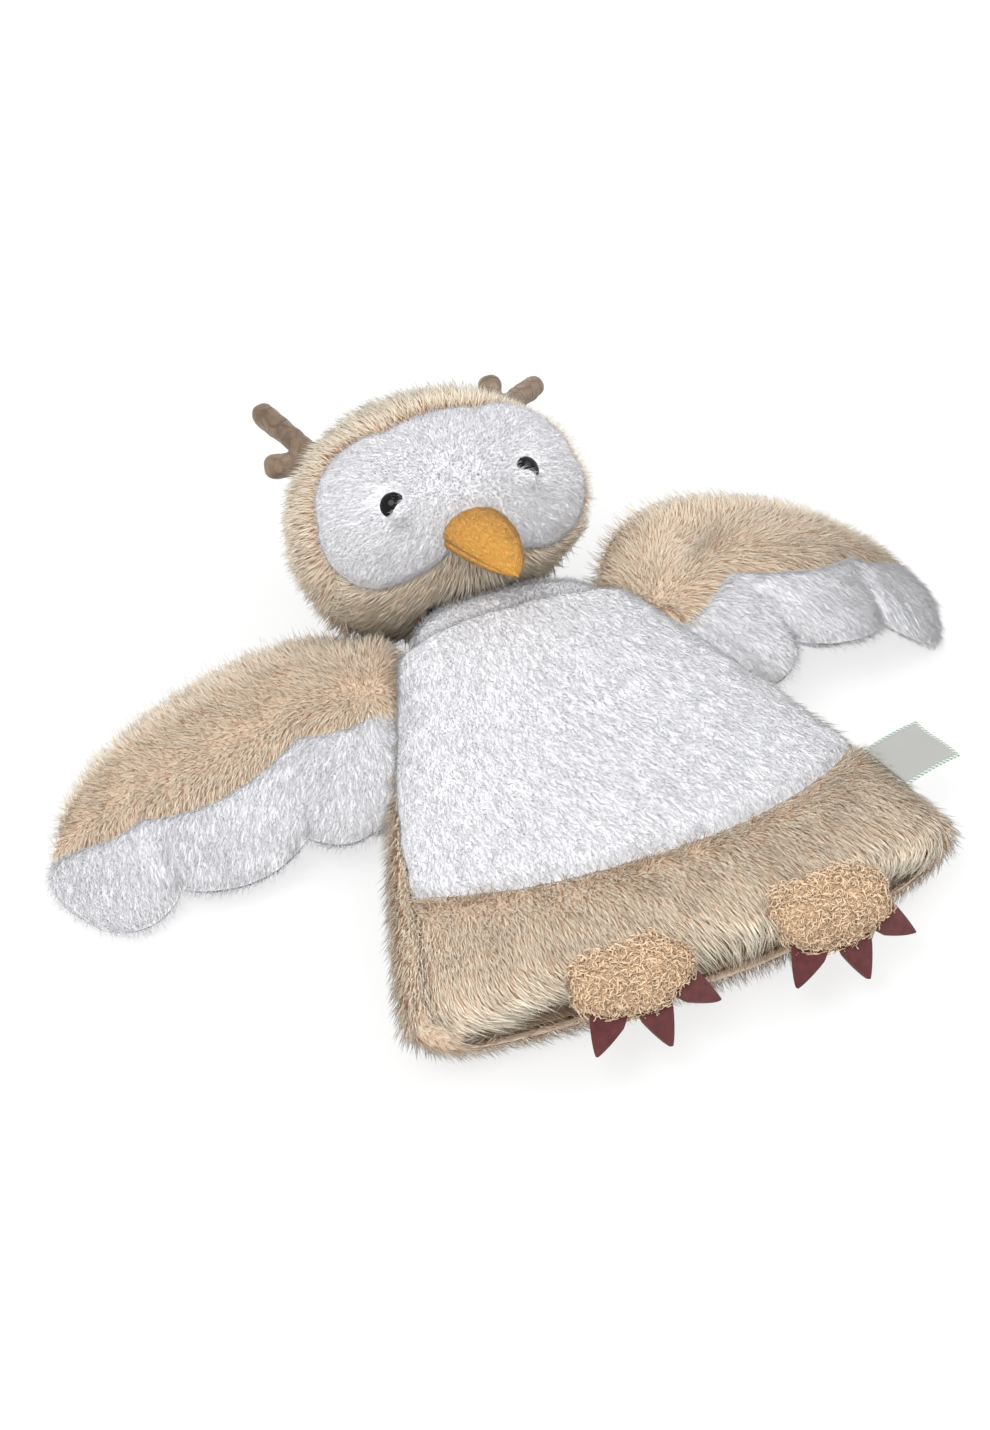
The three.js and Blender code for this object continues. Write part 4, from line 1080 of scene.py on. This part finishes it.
for side, sign, hinge in (("right", -1, Vector((-34, -90, 36.766))), ("left", 1, Vector((45, -86.938, 36.812)))):
    foot_place = Matrix.Translation(hinge) @ Matrix.Rotation(radians(24 + 3 * sign), 4, "X")
    half_deep = 12.6 + 0.4 * sign
    pad_middle = -half_deep - 1.5

    def pad_point(u, v):
        """A point of the pad, squarer at the rear, where the hem band holds it off."""
        turn, down = tau * u, pi * v
        at_rear = sin(turn) >= 0
        squarer = 0.65 if at_rear else 1
        longer = 0 if at_rear else 1.3 * sin(down) * sin(turn)
        point = foot_place @ Vector((
            PAD_HALF_WIDTH * sin(down) * powered(cos(turn), squarer),
            half_deep * (sin(down) * powered(sin(turn), squarer) - 1) + (longer - 0.2),
            PAD_HALF_HEIGHT * cos(down),
        ))
        share = min(0.99, max(-0.99, (point.x - 6) / body_half_width(HEM)))
        edge = body_point(acos(powered(share, 1.25)), HEM, 0)
        if point.y > edge.y - 0.6 and point.z < edge.z + 0.4:
            if edge.z - point.z < point.y - edge.y:
                point.z = edge.z + 0.4
            else:
                point.y = edge.y - 0.6
        return point

    for name, first, last_v, seed in (("upper", 0, PAD_SEAM, 81), ("sole", PAD_SEAM, 1, 82)):
        pad = knit(f"{side}_{name}_curls", 48, 20, lambda u, v: pad_point(u, mix(first, last_v, v)),
                   foot_place @ Vector((0, pad_middle, 0)), lambda u, v, point: (0.3, 0.3, 1, 1),
                   closed=True, rumple=1.4)
        grow_pile(pad, curl("curl", 5, 0.8, 0.85), curly_plush, 1, 0.2, seed,
                  tuft_width=5, tuft=1.4, frizz=0.8, twist=3, shortest=0.5)
        dress(pad, f"{side}_foot", f"{side}_foot_{name}")

    for which, step in (("outer", -sign), ("middle", 0), ("inner", sign)):
        turn = radians(9 - 46 * step)
        root = Vector((sin(turn) * 21.5, pad_middle - cos(turn) * (half_deep - 0.5), -1))
        claw_place = foot_place @ Matrix.Translation(root) @ Matrix.Rotation(turn, 4, "Z")
        claw_place = claw_place @ Matrix.Rotation(radians(26), 4, "X")
        points = []
        for face in (1, -1):
            for j in range(CLAW_ROWS + 1):
                for i in range(CLAW_COLUMNS + 1):
                    share, aside = j / CLAW_ROWS, 1 - 2 * i / CLAW_COLUMNS
                    height = face * CLAW_HALF_THICK + CLAW_CROWN * (1 - aside ** 2)
                    points.append(claw_place @ Vector((claw_outline(share) * aside, 9 - CLAW_LENGTH * share, height)))
        name = f"{side}_{which}_claw_felt"
        claw = placed(name, sewn(name, points, slab(CLAW_ROWS, CLAW_COLUMNS)))
        bevel = claw.modifiers.new("worn_edge", "BEVEL")
        bevel.width = 0.0005
        bevel.segments = 3
        bevel.limit_method = "ANGLE"
        baked(claw)
        claw.data.shade_smooth()
        claw.data.materials.append(felt)
        dress(claw, f"{side}_foot", f"{side}_{which}_claw")


# Label: a blank strip of white woven ribbon, folded and caught in the side seam near the hem, with
# an overlocked edge of green and white thread.
LABEL_LENGTH, LABEL_WIDTH, LABEL_THICK = 26, 24, 0.5
LABEL_ROWS, LABEL_COLUMNS = 12, 20
LABEL_ANGLE, LABEL_Y = 0.42, -47
ribbon, tree = new_material("ribbon_weave")
strip = add_node(tree, "ShaderNodeUVMap", uv_map="strip").outputs[0]
along, aside, _ = add_node(tree, "ShaderNodeSeparateXYZ", {0: strip}).outputs
threads = crossed(tree, strip, 30.0, 45.0, 0.3)
satin = dyed(tree, threads, (158, 159, 156), (190, 191, 188))
from_middle = maths(tree, "ABSOLUTE", maths(tree, "SUBTRACT", aside, 0.5))
at_side = maths(tree, "GREATER_THAN", from_middle, 0.46)
overlocked = maths(tree, "MAXIMUM", at_side, maths(tree, "GREATER_THAN", along, 0.955))
stitches = add_node(tree, "ShaderNodeTexWave", {"Vector": strip, "Scale": 9.0}, bands_direction="DIAGONAL")
stitching = dyed(tree, stitches.outputs["Fac"], (120, 158, 128), (236, 238, 234))
face_dye = add_node(tree, "ShaderNodeMix", {"Factor": overlocked, 6: satin, 7: stitching}, data_type="RGBA")
surfaced(tree, face_dye.outputs[2], 0.5, raised(tree, threads, 0.3, 0.0002))

label_place = Matrix.Translation(body_point(LABEL_ANGLE, LABEL_Y, 1))
label_place = label_place @ Matrix.Rotation(atan2(OUT_WAY.y, OUT_WAY.x) - 0.16, 4, "Z")
points, spots = [], []
for face in (1, 0):
    for j in range(LABEL_ROWS + 1):
        for i in range(LABEL_COLUMNS + 1):
            u, v = i / LABEL_COLUMNS, j / LABEL_ROWS
            curve = 0.9 * sin(pi * u) + 0.5 * sin(tau * v) * u
            height = 0.1 + LABEL_THICK * face + curve
            points.append(label_place @ Vector((LABEL_LENGTH * u, LABEL_WIDTH * (v - 0.5), height)))
            spots.append((u, v))
mesh = sewn("label_ribbon", points, slab(LABEL_ROWS, LABEL_COLUMNS))
layer = mesh.uv_layers.new(name="strip")
for loop in mesh.loops:
    layer.data[loop.index].uv = spots[loop.vertex_index]
mesh.materials.append(ribbon)
mesh.shade_smooth()
label = placed("label_ribbon", mesh)
dress(label, "torso", "seam_label")
